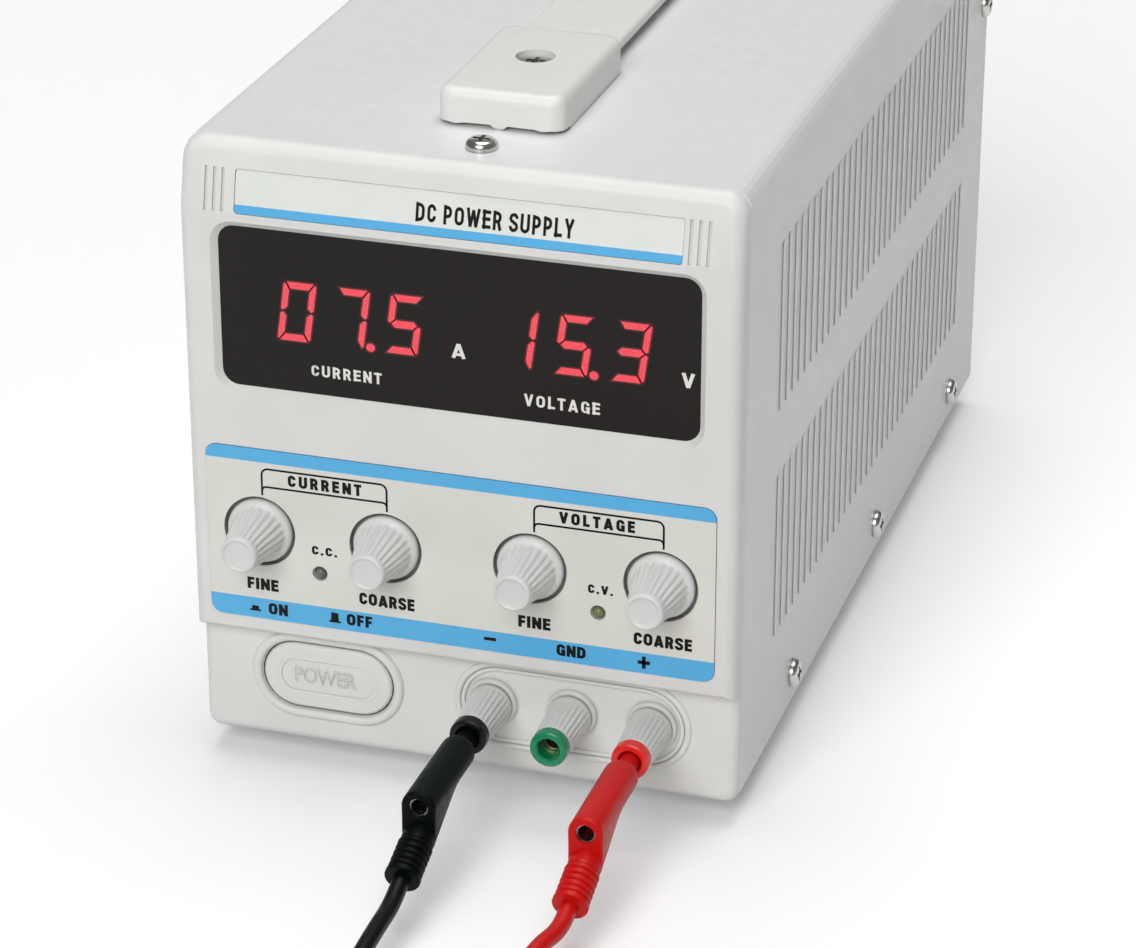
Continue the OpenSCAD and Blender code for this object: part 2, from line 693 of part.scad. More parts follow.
module potentiometers() color("silver") in_case() {
    back = board_y + board_t;
    for (x = knob_xs) difference() {
        union() {
            rod(x, knob_z, back, back + 9.4, 8);
            rod(x, knob_z, well_d + 3, back, shaft_r + 0.5);
            translate([x, board_y - 2, knob_z]) rotate([-90, 0, 0]) cylinder(r = 5 / cos(30), h = 2, $fn = 6);
            for (s = [-5, 0, 5]) block(x + s - 0.6, x + s + 0.6, back + 0.2, back + 0.8, knob_z - 12, knob_z - 6);
        }
        rod(x, knob_z, well_d + 2, back + 8.6, shaft_r + run);
    }
}

module indicator_leds() color([0.35, 0.4, 0.2]) in_case() {
    for (x = led_xs) {
        turned(x, led_z, concat([[0, 4], [led_r + 0.4, 4], [led_r + 0.4, 3], [led_r, 3]],
            arc(0, led_r - 0.9, led_r, 0, -90, 8)));
        for (s = [-1.27, 1.27]) rod(x + s / 2, led_z, 4, board_y, 0.3);
    }
}

// Power switch on its bracket, with the square hole that the button's stem slides in
stem_w = 6;
face_y = lower_set - 0.65;
flange_y = lower_wall + button_out + 0.1;

module power_switch() color([0.2, 0.2, 0.2]) in_case() {
    difference() {
        union() {
            block(button_x - 10, button_x + 10, 26, 44, button_z - 8, button_z + 8);
            for (s = [-10, 8.5]) block(button_x + s, button_x + s + 1.5, 26, 44, tray_z, button_z - 7);
            block(button_x - 10, button_x + 10, 26, 44, tray_z, tray_z + 1.5);
            for (s = [-6, 0, 6]) block(button_x + s - 0.4, button_x + s + 0.4, 43, 50, button_z - 3, button_z + 3);
        }
        block(button_x - stem_w / 2 - run, button_x + stem_w / 2 + run, 25, 35,
            button_z - stem_w / 2 - run, button_z + stem_w / 2 + run);
    }
}

module power_button() color("whitesmoke") in_case() {
    difference() {
        union() {
            hull() {
                slab(face_y, face_y + skin) translate([button_x, button_z])
                    polygon(obround(button_w - 1.4, button_h - 1.4, 12));
                slab(face_y + 0.7, flange_y + 1) translate([button_x, button_z])
                    polygon(obround(button_w, button_h, 12));
            }
            slab(flange_y, flange_y + 1.2) translate([button_x, button_z])
                polygon(obround(button_w + 2.4, button_h + 2.4, 12));
            block(button_x - stem_w / 2, button_x + stem_w / 2, flange_y + 1, 32,
                button_z - stem_w / 2, button_z + stem_w / 2);
        }
        slab(face_y - 1, face_y + 0.4) translate([button_x, button_z]) polygon(obround(24, 9, 12));
    }
}

// Fan

module fan_frame() color([0.12, 0.12, 0.12]) in_case() {
    back = panel_in;
    difference() {
        slab(fan_y, back) translate([0, fan_z]) polygon(rounded(fan_w, fan_w, 4));
        rod(0, fan_z, fan_y - 1, back + 1, fan_bore);
        for (sx = [-1, 1]) for (sz = [-1, 1])
            rod(sx * fan_hole, fan_z + sz * fan_hole, fan_y - 1, back + 1, 2.1);
        // Cut-away corners between the two flanges
        for (a = [0:90:270]) translate([0, fan_y + 4, fan_z]) rotate([0, a, 0])
            translate([fan_w / 2 - 6, 0, fan_w / 2 - 6]) cube([7, fan_d - 8, 7]);
    }
    difference() {
        union() {
            rod(0, fan_z, back - 3.2, back, hub_r + 0.5);
            rod(0, fan_z, fan_y + 8, back - 3, hub_r - 4);
            rod(0, fan_z, fan_y + 6, back - 3, bearing_r + 2);
            for (a = [20:90:290]) translate([0, 0, fan_z]) rotate([0, a, 0])
                block(-1.5, 1.5, back - 3.2, back, hub_r, fan_bore + 0.3);
        }
        rod(0, fan_z, fan_y + 5, fan_y + fan_d - 5, bearing_r + run);
    }
}

// One fan blade: a curved plate set across the air's path
module fan_blade() {
    chord_r = 20;
    translate([-13, fan_y + fan_d / 2 - 16, hub_r - 1]) linear_extrude(fan_bore)
        polygon(concat(arc(0, 0, chord_r, 20, 74, 8), arc(0, 0, chord_r - 1.3, 74, 20, 8)));
}

module fan_rotor() color([0.15, 0.15, 0.15]) in_case() {
    difference() {
        union() {
            rod(0, fan_z, fan_y + 2, fan_y + fan_d - 4.5, hub_r);
            intersection() {
                for (k = [0:blade_n - 1]) translate([0, 0, fan_z]) rotate([0, k * 360 / blade_n, 0]) fan_blade();
                rod(0, fan_z, fan_y + 2, fan_y + fan_d - 4.5, fan_bore - 1);
            }
        }
        rod(0, fan_z, fan_y + 4, fan_y + fan_d, hub_r - 1.5);
    }
    rod(0, fan_z, fan_y + 3, fan_y + fan_d - 6, bearing_r);
}

module fan_guard() color("silver") in_case() {
    spoke_y = panel_out + wire_r;
    loop_r = 2.1 + wire_r + 0.1;
    for (r = [10:8:34]) translate([0, spoke_y + 1.75 * wire_r, fan_z]) rotate([90, 0, 0])
        rotate_extrude() translate([r, 0]) circle(r = wire_r, $fn = 24);
    for (a = [45:90:315]) translate([0, spoke_y, fan_z]) rotate([0, a, 0]) {
        translate([0, 0, 9.3]) cylinder(r = wire_r, h = fan_hole * sqrt(2) - loop_r - 9.3, $fn = 24);
        translate([0, 0, fan_hole * sqrt(2)]) rotate([90, 0, 0])
            rotate_extrude() translate([loop_r, 0]) circle(r = wire_r, $fn = 24);
    }
}

// Mains inlet with its fuse drawer

inlet_out = panel_out + 2.5;
drawer_w = 20;
drawer_h = 7;
drawer_z = inlet_z - 9.5;
cavity_z = inlet_z - 2.6;

module mains_inlet() color([0.08, 0.08, 0.08]) in_case() {
    difference() {
        union() {
            slab(panel_out, inlet_out) translate([inlet_x, inlet_z]) polygon(rounded(50, 34, 3));
            block(inlet_x - 14, inlet_x + 14, panel_in - 24, panel_out + 0.5, inlet_z - 15, inlet_z + 15);
        }
        slab(inlet_out - 16, inlet_out + 1) translate([inlet_x, cavity_z])
            polygon([[-12.1, 0], [12.1, 0], [12.1, 12.4], [8.1, 16.4], [-8.1, 16.4], [-12.1, 12.4]]);
        block(inlet_x - drawer_w / 2, inlet_x + drawer_w / 2, inlet_out - 24, inlet_out + 1,
            drawer_z - drawer_h / 2, drawer_z + drawer_h / 2);
        for (s = [-20, 20]) rod(inlet_x + s, inlet_z, panel_out - 1, inlet_out + 1, 1.7);
    }
    // Three contact pins
    for (p = [[-7, 6.2], [0, 10.2], [7, 6.2]])
        block(inlet_x + p[0] - 1, inlet_x + p[0] + 1, inlet_out - 16, inlet_out - 5.5, cavity_z + p[1] - 2, cavity_z + p[1] + 2);
}

module fuse_drawer() color([0.1, 0.1, 0.1]) in_case() {
    z0 = drawer_z - drawer_h / 2 + fit;
    z1 = drawer_z + drawer_h / 2 - fit;
    difference() {
        union() {
            block(inlet_x - drawer_w / 2 + fit, inlet_x + drawer_w / 2 - fit, inlet_out - 23, inlet_out, z0, z1);
            slab(inlet_out, inlet_out + 1.2) translate([inlet_x, drawer_z])
                polygon(rounded(drawer_w + 1.6, drawer_h + 1, 0.8, 3));
        }
        block(inlet_x - 2.6, inlet_x + 2.6, inlet_out - 21.6, inlet_out - 1.2, z0 + 0.8, z1 + 1);
    }
    rod(inlet_x, z0 + 3.35, inlet_out - 21.4, inlet_out - 1.4, 2.5);
}

// Voltage selector

slider_w = 10;
slider_travel = 7;

module voltage_selector() color([0.1, 0.1, 0.1]) in_case() {
    window_w = slider_w + slider_travel + 2 * fit;
    difference() {
        union() {
            slab(panel_out, panel_out + 1.2) translate([selector_x, selector_z]) polygon(rounded(36, 17, 2));
            block(selector_x - 11, selector_x + 11, panel_in - 12, panel_out + 0.2, selector_z - 6, selector_z + 6);
        }
        block(selector_x - window_w / 2, selector_x + window_w / 2, panel_in - 6, panel_out + 2,
            selector_z - 4.6, selector_z + 4.6);
        for (s = [-14.5, 14.5]) rod(selector_x + s, selector_z, panel_out - 1, panel_out + 2, 1.5);
    }
}

module selector_slider() color("firebrick") in_case() {
    x0 = selector_x - (slider_w + slider_travel) / 2;
    difference() {
        block(x0, x0 + slider_w, panel_in - 5.9, panel_out + 0.5, selector_z - 4.5, selector_z + 4.5);
        block(x0 + slider_w / 2 - 0.6, x0 + slider_w / 2 + 0.6, panel_out - 1, panel_out + 1,
            selector_z - 3.2, selector_z + 3.2);
    }
}

// Binding posts

barrel_back = lower_set - 1.7;
barrel_front = 3 - post_len;
collar_back = barrel_front - 0.1;
stud_front = 5 - post_len;
sleeve_r = stud_r + 0.9;

module post_bases() color("gray") in_case() {
    for (x = post_xs) {
        turned(x, post_z, [[stud_r + run, lower_set - 1.5], [5.8, lower_set - 1.5], [6.2, lower_set - 1.1],
            [6.2, lower_set], [4, lower_set], [4, lower_wall], [stud_r + run, lower_wall]]);
        turned(x, post_z, [[stud_r + run, lower_wall], [6.2, lower_wall], [6.2, lower_wall + 2],
            [stud_r + run, lower_wall + 2]]);
    }
}

module post_studs() color("gold") in_case() {
    for (x = post_xs) difference() {
        rod(x, post_z, stud_front, 24, stud_r);
        rod(x, post_z, stud_front - 1, 8, socket_r);
    }
}

module post_nuts() color("silver") in_case() {
    for (x = post_xs) difference() {
        translate([x, lower_wall + 2, post_z]) rotate([-90, 0, 0]) cylinder(r = 5 / cos(30), h = 3, $fn = 6);
        rod(x, post_z, lower_wall + 1, lower_wall + 6, stud_r + run);
    }
}

// Clamping barrel with fine ribs, narrower towards its front
module barrel(x) {
    length = barrel_back - 1 - barrel_front;
    difference() {
        union() {
            translate([x, barrel_back - 1, post_z]) rotate([90, 0, 0])
                linear_extrude(length - 0.6, scale = 0.84)
                polygon(ridged(barrel_ribs, barrel_r - 0.45, barrel_r - 0.1));
            turned(x, post_z, [[0, barrel_back], [barrel_r - 0.3, barrel_back], [barrel_r, barrel_back - 0.4],
                [barrel_r, barrel_back - 1.4], [0, barrel_back - 1.4]]);
            rod(x, post_z, barrel_front, barrel_front + 1.2, sleeve_r + 0.6);
        }
        rod(x, post_z, barrel_front - 1, barrel_back + 1, stud_r + run);
        rod(x, post_z, barrel_front - 1, barrel_front + 1.9, sleeve_r + run);
    }
}

// Coloured front collar of a barrel
module collar(x) {
    turned(x, post_z, [[socket_r + 0.7, -post_len + 0.5], [socket_r + 1.1, -post_len], [sleeve_r + 0.1, -post_len],
        [sleeve_r + 0.6, -post_len + 0.3], [sleeve_r + 0.7, -post_len + 0.8], [sleeve_r + 0.7, collar_back],
        [sleeve_r, collar_back], [sleeve_r, collar_back + 1.8], [socket_r + 0.7, collar_back + 1.8]]);
}

module collar_black() color([0.08, 0.08, 0.08]) in_case() collar(post_xs[0]);
module collar_green() color([0.2, 0.66, 0.47]) in_case() collar(post_xs[1]);
module collar_red() color([0.8, 0.12, 0.1]) in_case() collar(post_xs[2]);
module barrel_black() color("lightgray") in_case() barrel(post_xs[0]);
module barrel_green() color("lightgray") in_case() barrel(post_xs[1]);
module barrel_red() color("lightgray") in_case() barrel(post_xs[2]);

// Knobs and potentiometer shafts

// Knob: rounded skirt, ribbed grip that narrows to the front, dished end
module knob(x) {
    grip_r = knob_r - 1.3;
    tip_r = grip_r * 0.65;
    skirt_y = 1.5;
    difference() {
        union() {
            turned(x, knob_z, concat([[0, skirt_y], [knob_r, skirt_y], [knob_r, 0]],
                arc(knob_r - 1.4, 0, 1.4, 0, -90, 5), [[0, -1.4]]));
            translate([x, -1.3, knob_z]) rotate([90, 0, 0])
                linear_extrude(knob_len - 2.8, scale = (tip_r - 0.1) / grip_r)
                polygon(ridged(knob_ribs, grip_r - 0.45, grip_r));
            turned(x, knob_z, [[0, 1 - knob_len], [0, 0.7 - knob_len], [tip_r - 1.2, 0.4 - knob_len],
                [tip_r - 0.8, -knob_len], [tip_r - 0.3, -knob_len], [tip_r, 0.4 - knob_len], [tip_r, 2 - knob_len],
                [0, 2 - knob_len]]);
        }
        rod(x, knob_z, 4 - knob_len, skirt_y + 1, shaft_r + 0.02);
        // Hollow underside between the hub and the skirt
        difference() {
            rod(x, knob_z, -0.2, skirt_y + 1, knob_r - 1.2);
            rod(x, knob_z, -1, skirt_y + 2, shaft_r + 1.8);
        }
    }
}

module pot_shaft(x) {
    rod(x, knob_z, 4.1 - knob_len, board_y + board_t + 8.4, shaft_r);
}

module knob_1() color("ivory") in_case() knob(knob_xs[0]);
module knob_2() color("ivory") in_case() knob(knob_xs[1]);
module knob_3() color("ivory") in_case() knob(knob_xs[2]);
module knob_4() color("ivory") in_case() knob(knob_xs[3]);
module pot_shaft_1() color("silver") in_case() pot_shaft(knob_xs[0]);
module pot_shaft_2() color("silver") in_case() pot_shaft(knob_xs[1]);
module pot_shaft_3() color("silver") in_case() pot_shaft(knob_xs[2]);
module pot_shaft_4() color("silver") in_case() pot_shaft(knob_xs[3]);

// Strap of the carrying handle: its two halves fold up and its tongue slides in the rear cap

module strap_piece(y0, y1) {
    slab(y0, y1) translate([0, (strap_z0 + strap_z1) / 2]) polygon(rounded(strap_w, strap_t, strap_t * 0.4, 4));
}

module strap_front_end() color("whitesmoke") in_case() at_handle() difference() {
    strap_piece(cap_y + 9.5, front_end_y);
    translate([0, cap_hole_y, strap_z0 - 1]) cylinder(r = handle_screw_r + run, h = strap_t + 2);
}

module strap_front_arm() color("whitesmoke") in_case() at_handle() strap_piece(front_end_y, middle_y);

module strap_rear_arm() color("whitesmoke") in_case() at_handle() strap_piece(middle_y, rear_end_y);

module strap_tongue() color("whitesmoke") in_case() at_handle() difference() {
    strap_piece(rear_end_y, rear_end_y + cap_l - 10);
    translate([0, rear_hole_y, strap_z0 - 1]) linear_extrude(strap_t + 2)
        translate([0, (tongue_travel - tongue_play) / 2]) rotate(90)
        polygon(obround(5.6 + tongue_travel + tongue_play, 5.6));
}

// Test leads

plug_gap = 5.5;
plug_pin = 27.5;
boot_l = 29.5;
exit_tilt = 19.5;
exit_l = 32.67;
exit_start = [0, -10.5, -1.2];
exit_end = exit_start + exit_l * [0, -cos(exit_tilt), -sin(exit_tilt)];
nose_y = -post_len - plug_gap;

// Metal core of a plug: the pin in front and the socket at the back
module plug_core() {
    turned(0, 0, [[0, plug_pin], [pin_r - 0.6, plug_pin], [pin_r, plug_pin - 0.8], [pin_r, -5.5],
        [socket_r + 0.6, -5.5], [socket_r + 0.6, 1 - boot_l], [socket_r, 1 - boot_l], [socket_r, -17.5], [0, -17.5]]);
}

// Plug with its pin along +Y; the lead leaves from below at a slope, through a ribbed sleeve
module plug() {
    rib_base = 3.4;
    plug_core();
    difference() {
        union() {
            turned(0, 0, concat([[0, 0], [3.1, 0]], arc(3.1, -1.1, 1.1, 90, 0, 4), [[4.2, -13], [4, -13.5],
                [4, 0.5 - boot_l], [3.5, -boot_l], [0, -boot_l]]));
            translate(exit_start) rotate([90 + exit_tilt, 0, 0]) rotate_extrude() polygon(concat(
                [[0, 0], [3.4, 0], [4.1, 20.4], [rib_base, 20.7]],
                [for (k = [0:4]) each [[rib_base, 20.9 + 2 * k], [4.15, 21.2 + 2 * k], [4.15, 22 + 2 * k],
                    [rib_base, 22.3 + 2 * k]]],
                [[rib_base, 30.9], [4.3, 31.2], [4.3, exit_l - 0.4], [3.9, exit_l], [0, exit_l]]));
        }
        rod(0, 0, -6, 1, pin_r);
        rod(0, 0, -boot_l - 1, -5.5, socket_r + 0.6);
    }
}

// Routes of the two leads from their plugs down to the table
black_route = [[7, -70, 10.4], [6.8, -78, 9.6], [6.5, -87, 8.4], [6.3, -96, 6.6], [6, -105, 4.6], [5.8, -114, 2.9],
    [5.5, -123, 2.1], [5.3, -129, 2.1]];
red_route = [[46.6, -69, 11.2], [44.6, -77, 10.8], [43.4, -85.5, 9.6], [44.4, -94, 7.4], [47.6, -102, 5],
    [52.4, -109.5, 3], [57.8, -116, 2.1], [62.8, -122, 2.1], [66.6, -128, 2.1]];
black_end_x = 5.2;
red_end_x = 68.6;
black_coil_x = black_end_x - coil_r - 2 * cord_r;
red_coil_x = 40;
coil_out = coil_r + 3 * cord_r;
coil_h = 4 * cord_r;
turn_r = 12;

// Place beside a coil where a straight lead along Y first touches it
function touch(x, coil_x) = let (d = abs(x - coil_x) - cord_r)
    [x, coil_y + sqrt(coil_out * coil_out - d * d) + run, cord_r];

function lead_start(x) = [x, nose_y, post_z] + exit_end;

// Lead on top of a coil, which turns inwards to the far plug, about the coil's middle
top_z_lead = coil_h + cord_r + run;
lead_swing = 90 - exit_tilt;
function top_arc(a) = [coil_r - turn_r + turn_r * cos(a), turn_r * sin(a)];
function top_lead() = concat(
    [for (a = [40, 20]) [coil_r * cos(a), coil_r * sin(a), top_z_lead]],
    [for (k = [0:4]) concat(top_arc(-k * lead_swing / 4), top_z_lead + 2.2 * k / 4)],
    [concat(top_arc(-lead_swing) - [sin(lead_swing), cos(lead_swing)], top_z_lead + 2.2)]);

module lead(x, route, end_x, coil_x, turn) {
    swept(concat([lead_start(x)], route, [touch(end_x, coil_x)]), cord_r);
    translate([coil_x, coil_y, 0]) rotate(turn) swept(top_lead(), cord_r);
}

module coil(coil_x) {
    translate([coil_x, coil_y, coil_h / 2]) rotate_extrude()
        translate([coil_r, 0]) polygon(rounded(6 * cord_r, coil_h, cord_r, 4));
}

module near_plug(x) {
    translate([x, nose_y, post_z]) plug();
}

module far_plug(coil_x, turn) {
    path = top_lead();
    translate([coil_x, coil_y, 0]) rotate(turn) translate(path[len(path) - 1] + [exit_end[1], exit_end[2], 0])
        rotate([90, -90, 0]) plug();
}

module plug_black() color([0.08, 0.08, 0.08]) in_case() near_plug(post_xs[0]);
module cord_black() color([0.08, 0.08, 0.08]) in_case()
    lead(post_xs[0], black_route, black_end_x, black_coil_x, 0);
module coil_black() color([0.08, 0.08, 0.08]) in_case() coil(black_coil_x);
module end_plug_black() color([0.08, 0.08, 0.08]) in_case() far_plug(black_coil_x, 0);
module plug_red() color([0.75, 0.1, 0.1]) in_case() near_plug(post_xs[2]);
module cord_red() color([0.75, 0.1, 0.1]) in_case() lead(post_xs[2], red_route, red_end_x, red_coil_x, 180);
module coil_red() color([0.75, 0.1, 0.1]) in_case() coil(red_coil_x);
module end_plug_red() color([0.75, 0.1, 0.1]) in_case() far_plug(red_coil_x, 180);

bezel();
display_window();
control_label();
name_strip();
cover();
chassis_tray();
rear_panel();
feet();
handle_front_cap();
handle_rear_cap();
case_screws();
transformer_core();
transformer_winding();
bridge_rectifier();
filter_capacitors();
main_board();
heatsink();
pass_transistors();
front_board();
display_digits();
potentiometers();
indicator_leds();
power_switch();
fan_frame();
fan_guard();
mains_inlet();
voltage_selector();
post_bases();
post_studs();
post_nuts();
strap_front_end();
strap_front_arm();
strap_rear_arm();
strap_tongue();
fan_rotor();
fuse_drawer();
selector_slider();
collar_black();
collar_green();
collar_red();
barrel_black();
barrel_green();
barrel_red();
knob_1();
knob_2();
knob_3();
knob_4();
pot_shaft_1();
pot_shaft_2();
pot_shaft_3();
pot_shaft_4();
power_button();
plug_black();
cord_black();
coil_black();
end_plug_black();
plug_red();
cord_red();
coil_red();
end_plug_red();
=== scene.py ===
# %% [markdown]
# A laboratory power supply in Blender.
#
# The real object has a moulded plastic panel, a sheet-metal cover pressed full of louvres, a strap to
# carry it by, and two test leads plugged into its binding posts. Its shapes and joints come from a CAD
# model, which is imported as a fixed frame. This lesson gives each surface its finish, and swaps the
# knobs, posts, plugs, leads and strap for pieces with more detail.

# %% Load the frame
import math

import bmesh
import bpy
from mathutils import Matrix, Vector
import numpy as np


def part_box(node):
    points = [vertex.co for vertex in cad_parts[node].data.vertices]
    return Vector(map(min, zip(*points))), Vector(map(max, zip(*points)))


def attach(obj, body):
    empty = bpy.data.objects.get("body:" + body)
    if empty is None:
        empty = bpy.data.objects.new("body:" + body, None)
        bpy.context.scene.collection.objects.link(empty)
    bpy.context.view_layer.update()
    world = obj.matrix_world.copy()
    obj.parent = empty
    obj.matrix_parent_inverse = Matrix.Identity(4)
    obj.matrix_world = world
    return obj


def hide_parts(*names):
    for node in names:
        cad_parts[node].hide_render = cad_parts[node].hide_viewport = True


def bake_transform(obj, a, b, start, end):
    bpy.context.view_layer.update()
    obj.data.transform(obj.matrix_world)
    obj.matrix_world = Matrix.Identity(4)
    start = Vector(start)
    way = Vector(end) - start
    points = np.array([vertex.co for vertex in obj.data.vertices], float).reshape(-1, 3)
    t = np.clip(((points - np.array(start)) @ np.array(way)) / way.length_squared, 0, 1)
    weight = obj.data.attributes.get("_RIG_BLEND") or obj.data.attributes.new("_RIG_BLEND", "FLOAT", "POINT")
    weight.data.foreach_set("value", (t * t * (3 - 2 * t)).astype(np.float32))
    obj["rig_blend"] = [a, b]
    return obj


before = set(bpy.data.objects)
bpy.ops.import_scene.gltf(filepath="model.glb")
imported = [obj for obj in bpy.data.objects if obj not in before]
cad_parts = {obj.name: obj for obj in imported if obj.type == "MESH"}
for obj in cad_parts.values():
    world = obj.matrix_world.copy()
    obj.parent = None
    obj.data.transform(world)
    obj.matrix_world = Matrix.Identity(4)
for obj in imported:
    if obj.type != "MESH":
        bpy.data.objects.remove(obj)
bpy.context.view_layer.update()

# %% [markdown]
# Everything below is measured in millimetres from the panel's flat face: X to the right, Y into the
# case, Z up from the table. A small helper turns such a place into the frame's metres. The panel's
# face is the bezel's foremost plane, so its Y is read from the frame.

# %% Millimetres from the panel's face
MM = 0.001
face_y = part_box("bezel")[0].y


def at(x, y, z):
    """A place in millimetres from the panel's face, in metres."""
    return Vector((x * MM, face_y + y * MM, z * MM))


def in_scene(name, data):
    """A new object, linked to the scene."""
    made = bpy.data.objects.new(name, data)
    bpy.context.scene.collection.objects.link(made)
    return made


print("panel face at y", round(face_y, 4))

# %% [markdown]
# The camera's place, angle and lens were worked out from the photograph's straight edges, so that the
# panel's corners fall where they fall in the picture.

# %% Camera
CAMERA_PLACE = (271.6, -782.3, 469.8)
LOOK_DOWN, LOOK_LEFT = 24.86, 17.34
LENS, SENSOR = 123.6, 36
NEAREST, FARTHEST = 0.05, 20
camera = in_scene("camera", bpy.data.cameras.new("camera"))
camera.location = at(*CAMERA_PLACE)
camera.rotation_euler = (math.radians(90 - LOOK_DOWN), 0, math.radians(LOOK_LEFT))
camera.data.lens, camera.data.sensor_width = LENS, SENSOR
camera.data.clip_start, camera.data.clip_end = NEAREST, FARTHEST
bpy.context.scene.camera = camera
bpy.context.scene.view_settings.view_transform = "Standard"
print("camera at", [round(c, 3) for c in camera.location])

# %% [markdown]
# A test lead is a limp cable of one fixed length. It leaves its plug at a slope, bends down to the
# table and runs out of the picture. Its spare length lies in a round coil: three rings side by side,
# two layers high. The lead keeps one radius for most of a turn and then steps over by its own
# diameter. Each kind of step has its own part of the circle, so the turns never cut through each other.

# %% Path of a coil
CORD_R = 2.1
COIL_R, COIL_Y = 25, -150
CLEAR = 0.05
layer_z = [CORD_R, 3 * CORD_R + CLEAR, 5 * CORD_R + 2 * CLEAR]
ring_r = [COIL_R + 2 * CORD_R, COIL_R, COIL_R - 2 * CORD_R]


def ease(t):
    """0 to 1, starting and ending gently."""
    t = max(0.0, min(1.0, t))
    return t * t * (3 - 2 * t)


def winding(turned, last):
    """Radius and height of the winding, turned by some degrees out of last."""
    # steps inwards in the last quarter of the first two turns
    inwards = ease((turned - 270) / 90) + ease((turned - 630) / 90)
    radius = ring_r[0] + (ring_r[1] - ring_r[0]) * inwards
    # climb to the second layer before the third turn's last quarter
    height = layer_z[0] + (layer_z[1] - layer_z[0]) * ease((turned - 930) / 60)
    # steps outwards on the second layer
    radius += (ring_r[0] - ring_r[1]) * (ease((turned - 1290) / 90) + ease((turned - 1650) / 90))
    # round the outer ring's upper side, to lie on top of the middle ring
    over = 90 * ease((turned - (last - 150)) / 60)
    if over > 0:
        side = ring_r[0] - ring_r[1]
        radius = ring_r[1] + side * math.cos(math.radians(over))
        height = layer_z[1] + (layer_z[2] - layer_z[1]) * math.sin(math.radians(over))
    return radius, height


def coil_points(centre_x, last, step=20):
    """Points of the coil, clockwise from its right-hand side."""
    points = []
    for turned in range(0, last + 1, step):
        radius, height = winding(turned, last)
        angle = math.radians(-turned)
        points.append((centre_x + radius * math.cos(angle), COIL_Y + radius * math.sin(angle), height))
    return points


print("a coil holds about", round(12 * math.pi * COIL_R), "mm of lead")

# %% [markdown]
# On top of the coil the lead turns inwards and runs into its far plug, which lies across the coil.
# That stretch and the route to the table are the same points as in the CAD source.

# %% Path of a lead
SLEEVE_Y, SLEEVE_Z = -10.5, -1.2
EXIT_SLOPE = math.radians(19.5)
EXIT_LENGTH = 32.67
exit_y = SLEEVE_Y - EXIT_LENGTH * math.cos(EXIT_SLOPE)
exit_z = SLEEVE_Z - EXIT_LENGTH * math.sin(EXIT_SLOPE)
NOSE_Y, POST_Z = -20.5, 25
TURN_R = 12
PLUG_RISE = 2.2
POST_XS = {"black": 7, "green": 27, "red": 47}


def top_points(turn):
    """From the coil's top into the far plug, about the coil's middle, turned by some degrees."""
    path = [(COIL_R * math.cos(math.radians(a)), COIL_R * math.sin(math.radians(a)), layer_z[2])
            for a in (40, 20)]
    for k in range(5):
        a = -k * (math.pi / 2 - EXIT_SLOPE) / 4
        rise = PLUG_RISE * k / 4
        path.append((COIL_R - TURN_R + TURN_R * math.cos(a), TURN_R * math.sin(a), layer_z[2] + rise))
    path.append((path[-1][0] + math.sin(a), path[-1][1] - math.cos(a), path[-1][2]))
    spin = Matrix.Rotation(math.radians(turn), 3, "Z")
    return [tuple(spin @ Vector(p)) for p in path]


def lead_points(x, route, centre_x, last, turn):
    """The whole lead, from the end of its plug's sleeve to the far plug."""
    start = (x, NOSE_Y + exit_y, POST_Z + exit_z)
    top = [(centre_x + x, COIL_Y + y, z) for x, y, z in top_points(turn)]
    return [start] + route + coil_points(centre_x, last) + top


black_route = [
    (7, -70, 10.4), (6.8, -78, 9.6), (6.5, -87, 8.4), (6.3, -96, 6.6), (6, -105, 4.6),
    (5.8, -114, 2.9), (5.5, -123, 2.1), (5.3, -129, 2.1), (5.2, -136, 2.1), (5.2, -143, 2.1)]
red_route = [
    (46.6, -69, 11.2), (44.6, -77, 10.8), (43.4, -85.5, 9.6), (44.4, -94, 7.4), (47.6, -102, 5),
    (52.4, -109.5, 3), (57.8, -116, 2.1), (62.8, -122, 2.1), (66.6, -128, 2.1), (68.6, -134.6, 2.1),
    (69.2, -142, 2.1)]
BLACK_COIL_X, BLACK_TURNED, BLACK_FACES = -24, 2100, 0
RED_COIL_X, RED_TURNED, RED_FACES = 40, 1920, 180
black_line = lead_points(POST_XS["black"], black_route, BLACK_COIL_X, BLACK_TURNED, BLACK_FACES)
red_line = lead_points(POST_XS["red"], red_route, RED_COIL_X, RED_TURNED, RED_FACES)
print("lead points", len(black_line), len(red_line))

# %% [markdown]
# The lead itself is a curve with a round bevel, so it keeps its diameter through every bend. Automatic
# handles make one smooth curve through all the points. The tube's radius is given at each point and
# the bevel is one metre deep, because Blender widens a curve's box by its points' radius alone.

# %% Leads as curves
UNIT_BEVEL = 1.0


def lead_curve(name, line):
    data = bpy.data.curves.new(name, "CURVE")
    data.dimensions = "3D"
    data.bevel_depth = UNIT_BEVEL
    data.bevel_resolution = data.resolution_u = 5
    data.use_fill_caps = True
    spline = data.splines.new("BEZIER")
    spline.bezier_points.add(len(line) - 1)
    for knot, place in zip(spline.bezier_points, line):
        knot.co = at(*place)
        knot.radius = CORD_R * MM
        knot.handle_left_type = knot.handle_right_type = "AUTO"
    return in_scene(name, data)


lead_black = lead_curve("lead_black_cable", black_line)
lead_red = lead_curve("lead_red_cable", red_line)
for piece, colour in ((lead_black, "black"), (lead_red, "red")):
    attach(piece, "lead_" + colour)
    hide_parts("cord_" + colour, "coil_" + colour)
print("leads laid on the table")

